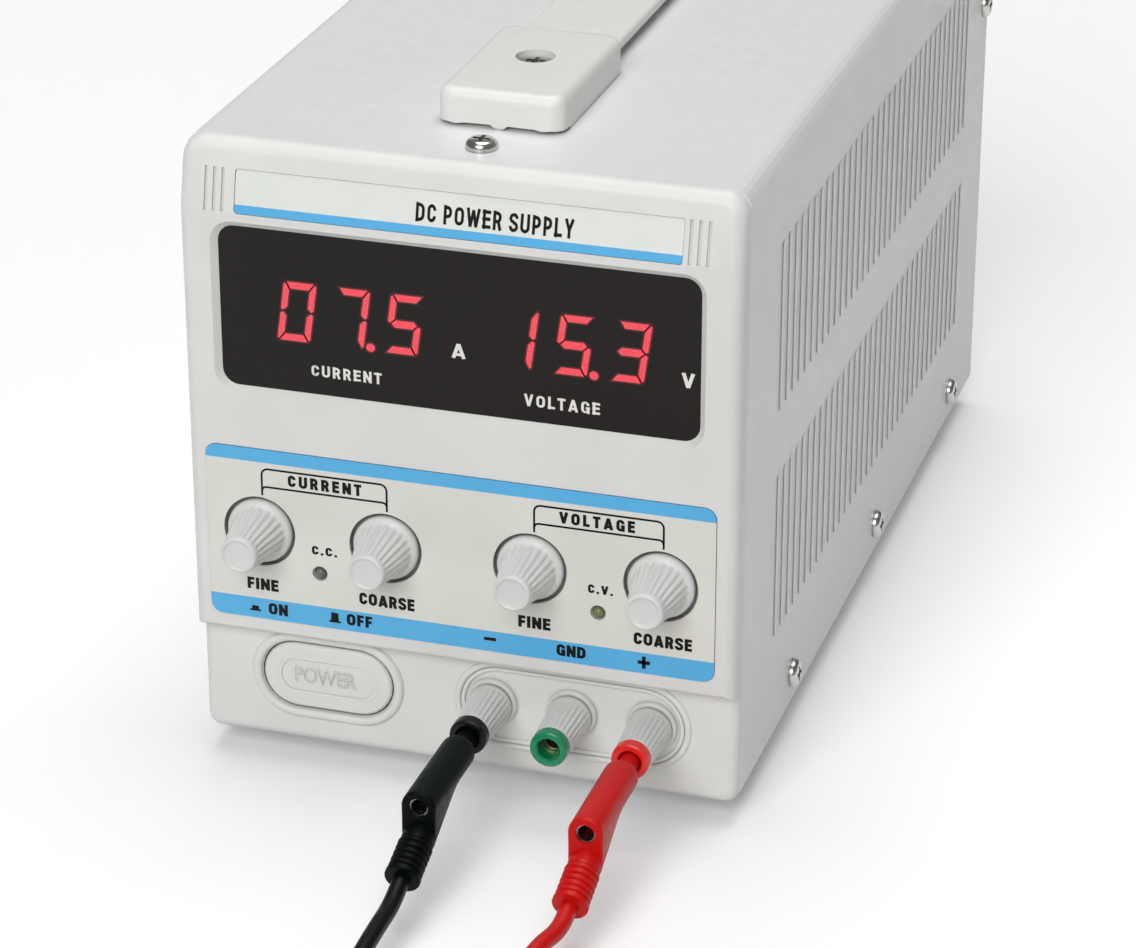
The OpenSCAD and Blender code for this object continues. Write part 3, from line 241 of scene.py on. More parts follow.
# %% [markdown]
# Every finish is made from nodes. Moulded plastic, powder coat and rubber are the same idea with
# different numbers: a colour that drifts a little over centimetres, a gloss that changes over
# millimetres, and a fine bump for the grain. The texture is measured in the object's own space, so it
# moves with the piece. Some finishes also get painted shade, darker in corners and crevices.

# %% Finish helpers
CASE_TOP = 162
DIP, CREST = 0.3, 0.7
CLOSED, OPEN = 0.25, 0.85


def rgb(red, green, blue):
    """A colour as seen on a screen, 0 to 255 a channel, in the linear numbers of shaders."""
    shares = [c / 255 for c in (red, green, blue)]
    return (*[c / 12.92 if c <= 0.04 else ((c + 0.055) / 1.055) ** 2.4 for c in shares], 1)


def add(tree, kind, sockets=None, **settings):
    """A new node with its settings, and its sockets set to a value or linked to a socket."""
    made = tree.nodes.new("ShaderNode" + kind)
    for key, value in settings.items():
        setattr(made, key, value)
    for key, value in (sockets or {}).items():
        if isinstance(value, bpy.types.NodeSocket):
            tree.links.new(value, made.inputs[key])
        else:
            made.inputs[key].default_value = value
    return made


def new_finish(name):
    material = bpy.data.materials.new(name)
    material.use_nodes = True
    tree = material.node_tree
    return material, tree, tree.nodes["Principled BSDF"]


def grain(tree, size):
    """Noise whose features are about size millimetres across."""
    where = add(tree, "TexCoord").outputs["Object"]
    return add(tree, "TexNoise", {"Vector": where, "Scale": 1 / (size * MM)}).outputs["Fac"]


def coordinate(tree, axis):
    """The place on the piece along X, Y or Z, in metres."""
    return add(tree, "SeparateXYZ", {"Vector": add(tree, "TexCoord").outputs["Object"]}).outputs[axis]


def grey(share):
    return (share, share, share, 1)


def ramp(tree, fac, stops, between="LINEAR"):
    """A colour ramp with the given (place, colour) stops."""
    made = add(tree, "ValToRGB", {"Fac": fac})
    made.color_ramp.interpolation = between
    elements = made.color_ramp.elements
    while len(elements) < len(stops):
        elements.new(0.5)
    for element, (place, colour) in zip(elements, stops):
        element.position, element.color = place, colour
    return made.outputs["Color"]


def shaded(colour, by):
    return (*[min(1, c * by) for c in colour[:3]], 1)


def multiplied(tree, colour, by, share=1.0):
    """A colour times another one; share says how much of the second one counts."""
    # a Mix node has sockets of one name for each data type: 6, 7 and 2 are the colours' own
    sockets = {0: share, 6: colour, 7: by}
    return add(tree, "Mix", sockets, data_type="RGBA", blend_type="MULTIPLY").outputs[2]


def crevice_shade(tree, colour, reach, dark, by_height=None):
    """The colour with painted shade, darker where other surfaces lie closer than reach millimetres.

    by_height gives (millimetres above the table, share of the painted shade) pairs.
    """
    open_share = add(tree, "AmbientOcclusion", {"Distance": reach * MM}, samples=8).outputs["AO"]
    # painted shade: a ramp from the ambient occlusion, dark where close surfaces hide the sky
    painted_shade = ramp(tree, open_share, [(CLOSED, grey(dark)), (OPEN, grey(1))])
    share = 1.0
    if by_height:
        up = add(tree, "Math", {0: coordinate(tree, "Z"), 1: CASE_TOP * MM}, operation="DIVIDE")
        share = ramp(tree, up.outputs[0], [(z / CASE_TOP, grey(amount)) for z, amount in by_height])
    return multiplied(tree, colour, painted_shade, share)


def dress_shader(tree, shader, colour, rough, drift=0.03, drift_mm=25, skin_mm=0.6, depth=0.006,
                 rough_span=0.06, reach=0, dark=0.3, by_height=None):
    """Colour that drifts, painted crevice shade if reach is set, gloss that varies and a fine bump, on a
    Principled shader.
    """
    if not isinstance(colour, bpy.types.NodeSocket):
        low, high = shaded(colour, 1 - drift), shaded(colour, 1 + drift)
        colour = ramp(tree, grain(tree, drift_mm), [(DIP, low), (CREST, high)])
    # painted shade in corners and crevices, from ambient occlusion
    if reach:
        colour = crevice_shade(tree, colour, reach, dark, by_height)
    tree.links.new(colour, shader.inputs["Base Color"])
    gloss = add(tree, "MapRange", {
        "Value": grain(tree, skin_mm * 4), "From Min": DIP, "From Max": CREST,
        "To Min": rough - rough_span, "To Max": rough + rough_span})
    tree.links.new(gloss.outputs["Result"], shader.inputs["Roughness"])
    bump = add(tree, "Bump", {"Height": grain(tree, skin_mm), "Distance": depth * MM})
    tree.links.new(bump.outputs["Normal"], shader.inputs["Normal"])


def finish(name, colour, rough, metallic=0.0, specular=0.5, **texture):
    """A finish of one colour; texture takes what dress_shader takes."""
    material, tree, shader = new_finish(name)
    dress_shader(tree, shader, rgb(*colour), rough, **texture)
    shader.inputs["Metallic"].default_value = metallic
    shader.inputs["Specular IOR Level"].default_value = specular
    return material


print("finish helpers ready")

# %% [markdown]
# The panel is a warm grey-white ABS with a matt skin; the cover is steel with a cool grey powder coat,
# whose orange-peel skin is coarser; knobs and posts are nylon; the screws are nickel-plated steel.

# %% Plain finishes
# reach and dark give painted shade in the corners and crevices of the panel, cover, knobs, posts, handle
# caps, strap and nickel parts; the panel's by_height weakens it below 46 mm and above 84 mm
panel_plastic = finish("panel_plastic", (225, 225, 222), 0.42, skin_mm=0.35, reach=1.5, dark=0.13,
                       by_height=[(36, 0.45), (46, 1), (84, 1), (96, 0.3)])
cover_coat = finish("cover_coat", (228, 229, 229), 0.36, drift=0.012, drift_mm=40, skin_mm=1.1,
                    depth=0.012, reach=0.4, dark=0.75)
knob_plastic = finish("knob_plastic", (220, 220, 218), 0.35, drift=0.015, skin_mm=0.4, depth=0.004,
                      reach=0.8)
post_plastic = finish("post_plastic", (216, 216, 213), 0.38, drift=0.02, skin_mm=0.4, depth=0.004,
                      reach=0.6)
handle_vinyl = finish("handle_vinyl", (229, 229, 224), 0.4, drift=0.012, skin_mm=0.8, depth=0.008,
                      reach=1.2, dark=0.1)
nickel = finish("nickel", (205, 203, 198), 0.24, 1, drift=0.05, drift_mm=2, skin_mm=0.5, depth=0.003,
                reach=0.8, dark=0.15)
brass = finish("brass", (206, 184, 138), 0.3, 1, drift=0.06, drift_mm=3, skin_mm=0.5, depth=0.003)
aluminium = finish("aluminium", (188, 190, 193), 0.38, 1, drift=0.04, drift_mm=8, skin_mm=0.4)
zinc_sheet = finish("zinc_sheet", (190, 194, 200), 0.42, 1, drift=0.08, drift_mm=12, skin_mm=2,
                    depth=0.01)
steel_laminate = finish("steel_laminate", (96, 98, 104), 0.5, 1, drift=0.1, drift_mm=1.2, skin_mm=0.5)
black_plastic = finish("black_plastic", (30, 30, 32), 0.42, drift=0.08, skin_mm=0.5)
black_rubber = finish("black_rubber", (27, 28, 29), 0.55, drift=0.12, drift_mm=6, skin_mm=0.5,
                      depth=0.01)
circuit_board = finish("circuit_board", (24, 92, 52), 0.35, drift=0.12, drift_mm=3, skin_mm=1.5,
                       depth=0.02)
capacitor_sleeve = finish("capacitor_sleeve", (34, 46, 92), 0.3, drift=0.05)
winding_tape = finish("winding_tape", (214, 178, 86), 0.45, drift=0.08, drift_mm=5, skin_mm=1.2,
                      depth=0.02)
digit_block = finish("digit_block", (52, 50, 50), 0.5, drift=0.06, skin_mm=0.5)
lead_vinyl = {
    name: finish(f"lead_{name}_vinyl", colour, 0.38, 0, shine, drift=drift, drift_mm=8, skin_mm=0.9,
                 depth=0.012)
    for name, colour, shine, drift in (
        ("black", (7, 12, 12), 0.18, 0.08), ("red", (196, 16, 13), 0.25, 0.05))}
plug_vinyl = {
    name: finish(f"plug_{name}_vinyl", colour, rough, 0, shine, drift=drift, drift_mm=10, depth=0.008)
    for name, colour, rough, shine, drift in (
        ("black", (4, 9, 8), 0.42, 0.1, 0.06), ("red", (198, 14, 11), 0.4, 0.25, 0.04))}
collar_plastic = {
    name: finish(f"collar_{name}_plastic", colour, rough, 0, shine, drift=0.05, depth=0.002)
    for name, colour, rough, shine in (
        ("black", (9, 10, 11), 0.3, 0.25), ("green", (16, 136, 90), 0.24, 0.5),
        ("red", (226, 34, 30), 0.22, 0.5))}
print("plain finishes", len(bpy.data.materials))

# %% [markdown]
# The frame's meshes have a facet for each flat of the CAD model, so a few modifiers smooth them without
# touching their vertices. Weld joins the faces' corners, a group of geometry nodes shades smooth
# across every edge that is flatter than a given angle, and Weighted Normal keeps the large flats flat.
# A narrow bevel gives an edge its thin highlight.

# %% Smoothing by angle
WELD_MM = 0.002
FLAT_WEIGHT = 80
crisp_edges = bpy.data.node_groups.new("crisp_edges", "GeometryNodeTree")
crisp_edges.is_modifier = True
for name, way, kind in (("Geometry", "INPUT", "Geometry"), ("Angle", "INPUT", "Float"),
                        ("Geometry", "OUTPUT", "Geometry")):
    crisp_edges.interface.new_socket(name, in_out=way, socket_type="NodeSocket" + kind)
start, end, smooth, sharp, turn, wide = [crisp_edges.nodes.new(kind) for kind in (
    "NodeGroupInput", "NodeGroupOutput", "GeometryNodeSetShadeSmooth", "GeometryNodeSetShadeSmooth",
    "GeometryNodeInputMeshEdgeAngle", "FunctionNodeCompare")]
sharp.domain = "EDGE"
sharp.inputs["Shade Smooth"].default_value = False
for source, output, target, socket in (
        (turn, "Unsigned Angle", wide, "A"), (start, "Angle", wide, "B"),
        (start, "Geometry", smooth, "Geometry"), (smooth, "Geometry", sharp, "Geometry"),
        (wide, "Result", sharp, "Selection"), (sharp, "Geometry", end, "Geometry")):
    crisp_edges.links.new(source.outputs[output], target.inputs[socket])


def smoothed(piece, angle=35, bevel=0.0):
    """Weld, bevel and smooth a piece with modifiers."""
    weld = piece.modifiers.new("weld", "WELD")
    weld.merge_threshold = WELD_MM * MM
    if bevel:
        edge = piece.modifiers.new("bevel", "BEVEL")
        edge.width, edge.segments = bevel * MM, 2
        edge.limit_method, edge.angle_limit = "ANGLE", math.radians(angle)
    crisp = piece.modifiers.new("crisp", "NODES")
    crisp.node_group = crisp_edges
    crisp["Socket_1"] = math.radians(angle)
    normals = piece.modifiers.new("normals", "WEIGHTED_NORMAL")
    normals.keep_sharp = True
    normals.weight = FLAT_WEIGHT
    return piece


def dress(node, material, angle=35, bevel=0.0):
    """Give a CAD node its finish and smooth shading."""
    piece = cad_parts[node]
    piece.data.materials.clear()
    piece.data.materials.append(material)
    attributes = piece.data.attributes
    if "custom_normal" in attributes:
        attributes.remove(attributes["custom_normal"])
    return smoothed(piece, angle, bevel)


plainly_dressed = (
    (black_rubber, ["feet"]), (steel_laminate, ["transformer_core"]),
    (winding_tape, ["transformer_winding"]), (capacitor_sleeve, ["filter_capacitors"]),
    (circuit_board, ["main_board", "front_board"]), (digit_block, ["display_digits"]),
    (zinc_sheet, ["potentiometers", "chassis_tray", "rear_panel"]),
    (black_plastic, ["bridge_rectifier", "pass_transistors", "power_switch", "fan_frame",
                     "fan_rotor", "mains_inlet", "fuse_drawer", "voltage_selector"]),
    (nickel, ["fan_guard", "case_screws"]), (brass, ["post_studs", "post_nuts"]),
    (post_plastic, ["post_bases"]),
    (aluminium, ["heatsink"] + [f"pot_shaft_{number}" for number in range(1, 5)]),
    (collar_plastic["black"], ["collar_black"]), (collar_plastic["green"], ["collar_green"]),
    (collar_plastic["red"], ["collar_red", "selector_slider"]))
for material, nodes in plainly_dressed:
    for node in nodes:
        dress(node, material)
dress("cover", cover_coat, 9)
for node, bevel in (("handle_front_cap", 0.25), ("handle_rear_cap", 0.25), ("strap_front_end", 0),
                    ("strap_tongue", 0)):
    dress(node, handle_vinyl, 40, bevel)
for node in ("bezel", "power_button"):
    dress(node, panel_plastic, 32, 0.2)
print("CAD nodes dressed")

# %% [markdown]
# The label is a sheet of pale film printed with two sky-blue bands. The print follows the height
# above the table, so a ramp on the object's own Z does it.

# %% Printed label and strip
LABEL_LOW, LABEL_HIGH = 41.0, 86.0
BAND_LOW, BAND_HIGH = 46.3, 82.6
sky_blue = rgb(88, 182, 234)
label_paper = rgb(225, 226, 218)
strip_paper = rgb(232, 235, 229)


def printed(name, low, high, stops, rough):
    """A print in crisp bands, whose places are shares of the height from low to high millimetres."""
    material, tree, shader = new_finish(name)
    sockets = {"Value": coordinate(tree, "Z"), "From Min": low * MM, "From Max": high * MM}
    bands = ramp(tree, add(tree, "MapRange", sockets).outputs["Result"], stops, "CONSTANT")
    drift = ramp(tree, grain(tree, 18), [(DIP, (0.965, 0.97, 0.965, 1)), (CREST, grey(1))])
    # reach=0.5 gives painted shade along the print's edges, where the recess walls are close
    dress_shader(tree, shader, multiplied(tree, bands, drift), rough, skin_mm=0.5, depth=0.003, reach=0.5)
    return material


low_share, high_share = [(z - LABEL_LOW) / (LABEL_HIGH - LABEL_LOW) for z in (BAND_LOW, BAND_HIGH)]
label_print = printed("label_print", LABEL_LOW, LABEL_HIGH,
                      [(0.0, sky_blue), (low_share, label_paper), (high_share, sky_blue)], 0.38)
strip_low, strip_high = (c.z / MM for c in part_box("name_strip"))
strip_print = printed("strip_print", strip_low, strip_high, [(0.0, sky_blue), (0.21, strip_paper)], 0.34)
dress("control_label", label_print, 32, 0.08)
dress("name_strip", strip_print, 32, 0.08)
print("label and strip printed")

# %% [markdown]
# The display window is tinted acrylic, nearly black with a warm cast. The lamps are small epoxy domes,
# both unlit: the left one is grey, the right one olive green, and both are one CAD node.

# %% Window and lamps
window_acrylic = finish("window_acrylic", (34, 31, 29), 0.3, specular=0.15, drift=0.04, drift_mm=60,
                        skin_mm=3, depth=0.001, rough_span=0.02)
dress("display_window", window_acrylic, 32, 0.1)
lamp_epoxy, tree, shader = new_finish("lamp_epoxy")
side = add(tree, "MapRange", {"Value": coordinate(tree, "X"), "From Min": -MM, "From Max": MM})
tone = ramp(tree, side.outputs["Result"], [(0.0, rgb(100, 98, 94)), (1.0, rgb(112, 117, 76))])
dress_shader(tree, shader, tone, 0.22, skin_mm=0.3, depth=0.004)
dress("indicator_leds", lamp_epoxy, 40)
print("window and lamps done")

# %% [markdown]
# Knobs and posts are turned shapes with fine ribs. A profile of radius and depth goes round an axis,
# and each ring's radius dips between the ribs by its own amount, so the ribs can fade into a rim.

# %% Lathe
RIB_SHARPNESS = 1.4


def linked(name, mesh, material):
    mesh.materials.append(material)
    return in_scene(name, mesh)


def finished_mesh(name, shape):
    """A mesh from a bmesh, which is freed."""
    mesh = bpy.data.meshes.new(name)
    shape.to_mesh(mesh)
    shape.free()
    return mesh


def lathe(name, profile, material, ribs, around):
    """Turn (radius, y, rib depth) rings about Y, in millimetres."""
    shape = bmesh.new()
    rings = []
    for radius, y, depth in profile:
        if radius == 0:
            rings.append([shape.verts.new((0, y * MM, 0))])
            continue
        ring = []
        for k in range(around):
            turn = 2 * math.pi * k / around
            dip = depth * (0.5 - 0.5 * math.cos(ribs * turn)) ** RIB_SHARPNESS if ribs else 0
            out = (radius - dip) * MM
            ring.append(shape.verts.new((out * math.cos(turn), y * MM, out * math.sin(turn))))
        rings.append(ring)
    for back, front in zip(rings, rings[1:]):
        for k in range(around):
            n = (k + 1) % around
            corners = [ring[j % len(ring)] for ring, j in ((back, k), (front, k), (front, n), (back, n))]
            corners = list(dict.fromkeys(corners))
            if len(corners) > 2:
                shape.faces.new(corners)
    bmesh.ops.recalc_face_normals(shape, faces=shape.faces)
    mesh = finished_mesh(name, shape)
    for face in mesh.polygons:
        face.use_smooth = True
    return linked(name, mesh, material)


def place(piece, x, y, z, body):
    """Set a piece at a place in millimetres and let it ride on a body."""
    piece.location = at(x, y, z)
    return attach(piece, body)


print("lathe ready")

# %% [markdown]
# A knob has a domed skirt, a grip that narrows towards the front and a flat end with a raised rim.

# %% Knobs
KNOB_Z = 64.4
KNOB_XS = (-50, -18, 18, 50)
KNOB_RIBS = 22
knob_profile = [
    (0, 1.4, 0), (7.9, 1.4, 0), (8.2, 1.2, 0), (8.2, 0.3, 0), (8.1, -0.25, 0), (7.85, -0.7, 0),
    (7.45, -1.05, 0), (7.05, -1.3, 0), (6.85, -1.6, 0.25), (6.72, -2.2, 0.45), (6.45, -3.6, 0.5),
    (5.9, -6.3, 0.5), (5.3, -9.3, 0.48), (4.85, -11.6, 0.42), (4.66, -12.6, 0.25), (4.6, -12.9, 0),
    (4.58, -13.6, 0), (4.5, -14.05, 0), (4.3, -14.36, 0), (4.02, -14.5, 0), (3.75, -14.42, 0),
    (3.55, -14.2, 0), (3.35, -14.08, 0), (2.6, -14.02, 0), (1.2, -14, 0), (0, -14, 0)]
for number, x in enumerate(KNOB_XS, 1):
    knob = lathe(f"knob_{number}_grip", knob_profile, knob_plastic, KNOB_RIBS, KNOB_RIBS * 8)
    place(knob, x, 0, KNOB_Z, f"knob_{number}")
    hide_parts(f"knob_{number}")
print("knobs", len(KNOB_XS))

# %% [markdown]
# A post's barrel is the clamping nut: fine ribs from a round flange to a thin rim at the front, where
# the coloured collar begins. The stud shows through its middle, so the barrel is a closed ring.

# %% Binding posts
BARREL_RIBS = 24
barrel_profile = [
    (3.1, 2.8, 0), (5.1, 2.8, 0), (5.4, 2.5, 0), (5.4, 1.6, 0), (5.28, 1.3, 0.1), (5.26, 0.6, 0.32),
    (5.1, -3, 0.36), (4.85, -8, 0.34), (4.68, -11, 0.3), (4.62, -11.5, 0), (4.58, -11.9, 0),
    (4.4, -12, 0), (3.1, -12, 0), (3.1, 2.8, 0)]
for colour, x in POST_XS.items():
    barrel = lathe(f"barrel_{colour}_ribs", barrel_profile, post_plastic, BARREL_RIBS, BARREL_RIBS * 8)
    place(barrel, x, 0, POST_Z, f"barrel_{colour}")
    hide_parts(f"barrel_{colour}")
print("posts", list(POST_XS))

# %% [markdown]
# A stackable plug is a vinyl boot round a metal core. The boot's cross-section is the skin round two
# circles: the upper one holds the core, the lower one is the start of the sleeve, which sinks below it
# at a slope. Where the upper one ends it leaves a flat face, and the sleeve runs on alone with its
# ribs. The hole for the next plug is cut into that face.

# %% Boot
BODY_R, BODY_END = 4.2, -29.5
NECK_R, NOSE_ROUND = 2.9, 1.6
SLEEVE_END_R, EDGE_ROUND = 4.02, 0.6
HOLE_R = 2.35
BOOT_AROUND = 56
CRESTS, FIRST_CREST, CREST_STEP = 5, 23, 1.75
round_boot = [(math.cos(2 * math.pi * k / BOOT_AROUND), math.sin(2 * math.pi * k / BOOT_AROUND))
              for k in range(BOOT_AROUND)]


def skin_ring(y, upper_r, lower_r=0, lower_z=0):
    """The skin round an upper circle on the plug's axis and a lower one below it, at depth y."""
    ring = []
    for side, up in round_boot:
        if upper_r >= lower_r + lower_z * up:
            ring.append((upper_r * side, y, upper_r * up))
        else:
            ring.append((lower_r * side, y, lower_z + lower_r * up))
    return ring


def sleeve_ring(along, radius):
    """A circle round the sleeve's sloping axis."""
    down, flat_share = math.sin(EXIT_SLOPE), math.cos(EXIT_SLOPE)
    return [(radius * side, SLEEVE_Y - along * flat_share - radius * up * down,
             SLEEVE_Z - along * down + radius * up * flat_share) for side, up in round_boot]


def boot_rings():
    """The boot's rings, from the nose over the body to the sleeve's end."""
    rings = [skin_ring(y, r) for y, r in ((7.4, 0.5), (7.4, 2.1), (7.1, 2.35), (0.15, 2.35), (0, 2.6))]
    for k in range(7):
        turn = math.radians(15 * k)
        rings.append(skin_ring(-NOSE_ROUND * (1 - math.cos(turn)),
                               NECK_R + (BODY_R - NECK_R) * math.sin(turn)))
    rings += [skin_ring(y, BODY_R) for y in (-4, -7)]
    for k in range(12):
        y = SLEEVE_Y - 18.4 * k / 11
        low = SLEEVE_Z + (y - SLEEVE_Y) * math.tan(EXIT_SLOPE)
        rings.append(skin_ring(y, BODY_R, 3.4 + 0.6 * k / 11, low))
    low = SLEEVE_Z + (BODY_END - SLEEVE_Y) * math.tan(EXIT_SLOPE)
    for k in range(1, 5):
        turn = math.radians(22.5 * k)
        rings.append(skin_ring(BODY_END + EDGE_ROUND * (1 - math.sin(turn)),
                               BODY_R - EDGE_ROUND * (1 - math.cos(turn)), SLEEVE_END_R, low))
    rings.append([(SLEEVE_END_R * side, BODY_END, low + SLEEVE_END_R * up) for side, up in round_boot])
    rings.append(sleeve_ring(21.8, 3.9))
    for k in range(CRESTS):
        crest = FIRST_CREST + CREST_STEP * k
        rings += [sleeve_ring(crest + d, r) for d, r in (
            (-0.72, 3.45), (-0.5, 3.95), (-0.2, 4.17), (0.2, 4.17), (0.5, 3.95), (0.72, 3.45))]
    rings += [sleeve_ring(d, r) for d, r in (
        (31, 3.5), (31.15, 4.1), (31.4, 4.3), (32.3, 4.3), (32.6, 4.15), (EXIT_LENGTH, 3.9),
        (EXIT_LENGTH, 0.5))]
    return rings


def loft(name, rings):
    """A closed skin through rings of equal size, in millimetres."""
    shape = bmesh.new()
    made = [[shape.verts.new(Vector(p) * MM) for p in ring] for ring in rings]
    for back, front in zip(made, made[1:]):
        for k in range(len(back)):
            n = (k + 1) % len(back)
            shape.faces.new((back[k], back[n], front[n], front[k]))
    shape.faces.new(made[0])
    shape.faces.new(made[-1])
    bmesh.ops.recalc_face_normals(shape, faces=shape.faces)
    return finished_mesh(name, shape)


def evaluated(piece):
    """A new mesh of the piece with its modifiers."""
    bpy.context.view_layer.update()
    return bpy.data.meshes.new_from_object(piece.evaluated_get(bpy.context.evaluated_depsgraph_get()))


def cut(mesh, tool):
    """The mesh with the tool's space taken out of it."""
    body, knife = in_scene("cut_body", mesh), in_scene("cut_tool", tool)
    taken = body.modifiers.new("cut", "BOOLEAN")
    taken.object = knife
    taken.solver = "EXACT"
    result = evaluated(body)
    for part in (body, knife):
        bpy.data.objects.remove(part)
    return result


hole = loft("hole_tool", [skin_ring(y, HOLE_R) for y in (-31, -18)])
boot_shape = cut(loft("boot_shape", boot_rings()), hole)
core_profile = [
    (0, 27.5, 0), (1.35, 27.5, 0), (1.75, 27.2, 0), (1.95, 26.5, 0), (1.95, -17, 0), (2.3, -17, 0),
    (2.3, -28.7, 0), (2.25, -28.9, 0), (2.02, -28.9, 0), (2, -28.7, 0), (2, -17.6, 0), (0, -17.6, 0)]
print("boot", len(boot_shape.polygons), "faces")

# %% [markdown]
# The same boot serves four times: one of each colour in its post and one of each at the lead's far
# end, where its place is worked out from the lead's last point.

# %% Plugs
CORE_AROUND = 32


def plug_pieces(node, colour, where):
    """Boot and core of one plug, placed by a matrix in millimetres from the panel's face."""
    boot = linked(node + "_boot", boot_shape.copy(), plug_vinyl[colour])
    core = lathe(node + "_core", core_profile, nickel, 0, CORE_AROUND)
    metres = Matrix.Translation(at(0, 0, 0)) @ Matrix.Scale(MM, 4) @ where @ Matrix.Scale(1 / MM, 4)
    for piece in (boot, core):
        piece.matrix_world = metres
        smoothed(piece, 38)
        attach(piece, "lead_" + colour)
        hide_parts(node)


def far_place(centre_x, turn):
    """Where a far plug lies: on its side across the coil, its sleeve at the lead's last point."""
    tip = Vector(top_points(0)[-1]) + Vector((exit_y, exit_z, 0))
    return (Matrix.Translation((centre_x, COIL_Y, 0)) @ Matrix.Rotation(math.radians(turn), 4, "Z")
            @ Matrix.Translation(tip) @ Matrix.Rotation(math.radians(-90), 4, "Y")
            @ Matrix.Rotation(math.radians(90), 4, "X"))


for colour, centre_x, turn in (("black", BLACK_COIL_X, BLACK_FACES), ("red", RED_COIL_X, RED_FACES)):
    plug_pieces("plug_" + colour, colour, Matrix.Translation((POST_XS[colour], NOSE_Y, POST_Z)))
    plug_pieces("end_plug_" + colour, colour, far_place(centre_x, turn))
for piece, colour in ((lead_black, "black"), (lead_red, "red")):
    piece.data.materials.append(lead_vinyl[colour])
print("plugs in place")

# %% [markdown]
# Everything that is printed is a thin sheet with a small depth. The shapes of one print are joined into
# one piece, which lies on the surface under it.

# %% Flat prints
PRINT_DEPTH = 0.02


def raised(shape):
    """Give a flat sheet of faces its depth."""
    out = bmesh.ops.extrude_face_region(shape, geom=shape.faces[:])
    for v in out["geom"]:
        if isinstance(v, bmesh.types.BMVert):
            v.co.y -= PRINT_DEPTH
    bmesh.ops.recalc_face_normals(shape, faces=shape.faces)
    return shape


def flat(polygon):
    """A flat shape of (x, z) points."""
    shape = bmesh.new()
    shape.faces.new([shape.verts.new((x, 0, z)) for x, z in polygon])
    return raised(shape)


def add_to(whole, shape):
    """Copy a shape into a larger one and free it."""
    part = finished_mesh("part", shape)
    whole.from_mesh(part)
    bpy.data.meshes.remove(part)


def joined(name, shapes, material, y, body="housing"):
    """One piece of (shape, x, z) triples at a depth from the panel's face."""
    whole = bmesh.new()
    for shape, x, z in shapes:
        bmesh.ops.translate(shape, vec=(x, 0, z), verts=shape.verts)
        add_to(whole, shape)
    bmesh.ops.scale(whole, vec=(MM, MM, MM), verts=whole.verts)
    return place(linked(name, finished_mesh(name, whole), material), 0, y, 0, body)


ink = finish("ink", (8, 8, 9), 0.5, specular=0.2, drift=0.1, drift_mm=4, skin_mm=0.4, depth=0.001)
white_ink = finish("white_ink", (232, 230, 226), 0.45, drift=0.02, drift_mm=4, skin_mm=0.4, depth=0.001)
print("print helpers ready")

# %% [markdown]
# The panel's words are in a bold, narrow face: strokes of one width, straight or with quarter circles
# at their corners. Each letter is drawn in a box one unit high, and a word's letters are spread to the
# width that the word has on the panel.

# %% Stroke letters
PEN = 0.24
LOW, MID, HIGH_LINE = PEN / 2, 0.5, 1 - PEN / 2
STROKE_STEP = 0.004
SAME = 0.001


def bar(x0, x1, z0, z1):
    return flat([(x0, z0), (x1, z0), (x1, z1), (x0, z1)])


def stroke(points, width):
    """A line of some width through (x, z) points."""
    left, right = [], []
    for k, (x, z) in enumerate(points):
        ahead = Vector(points[min(k + 1, len(points) - 1)]) - Vector(points[max(k - 1, 0)])
        side = Vector((-ahead.y, ahead.x)).normalized() * width / 2
        left.append((x + side.x, z + side.y))
        right.append((x - side.x, z - side.y))
    shape = bmesh.new()
    ends = [[shape.verts.new((x, 0, z)) for x, z in pair] for pair in zip(left, right)]
    for (a, b), (c, d) in zip(ends, ends[1:]):
        shape.faces.new((a, b, d, c))
    return raised(shape)


def bend(x, z, radius, start, end, steps=6):
    """Points of a rounded corner about (x, z)."""
    turns = [math.radians(start + (end - start) * k / steps) for k in range(steps + 1)]
    return [(x + radius * math.cos(turn), z + radius * math.sin(turn)) for turn in turns]


def bowl(wide, low, high, r=0.2):
    """The round right-hand side of a P, R or D, between two heights."""
    x = wide - LOW - r
    return [(LOW, high)] + bend(x, high - r, r, 90, 0) + bend(x, low + r, r, 0, -90) + [(LOW, low)]


def open_round(wide, r=0.2):
    """A C's line, from its upper end round the left to its lower end."""
    left, right, foot, head = LOW + r, wide - LOW - r, LOW + r, HIGH_LINE - r
    return ([(wide - LOW, 0.64)] + bend(right, head, r, 0, 90) + bend(left, head, r, 90, 180)
            + bend(left, foot, r, 180, 270) + bend(right, foot, r, 270, 360) + [(wide - LOW, 0.36)])


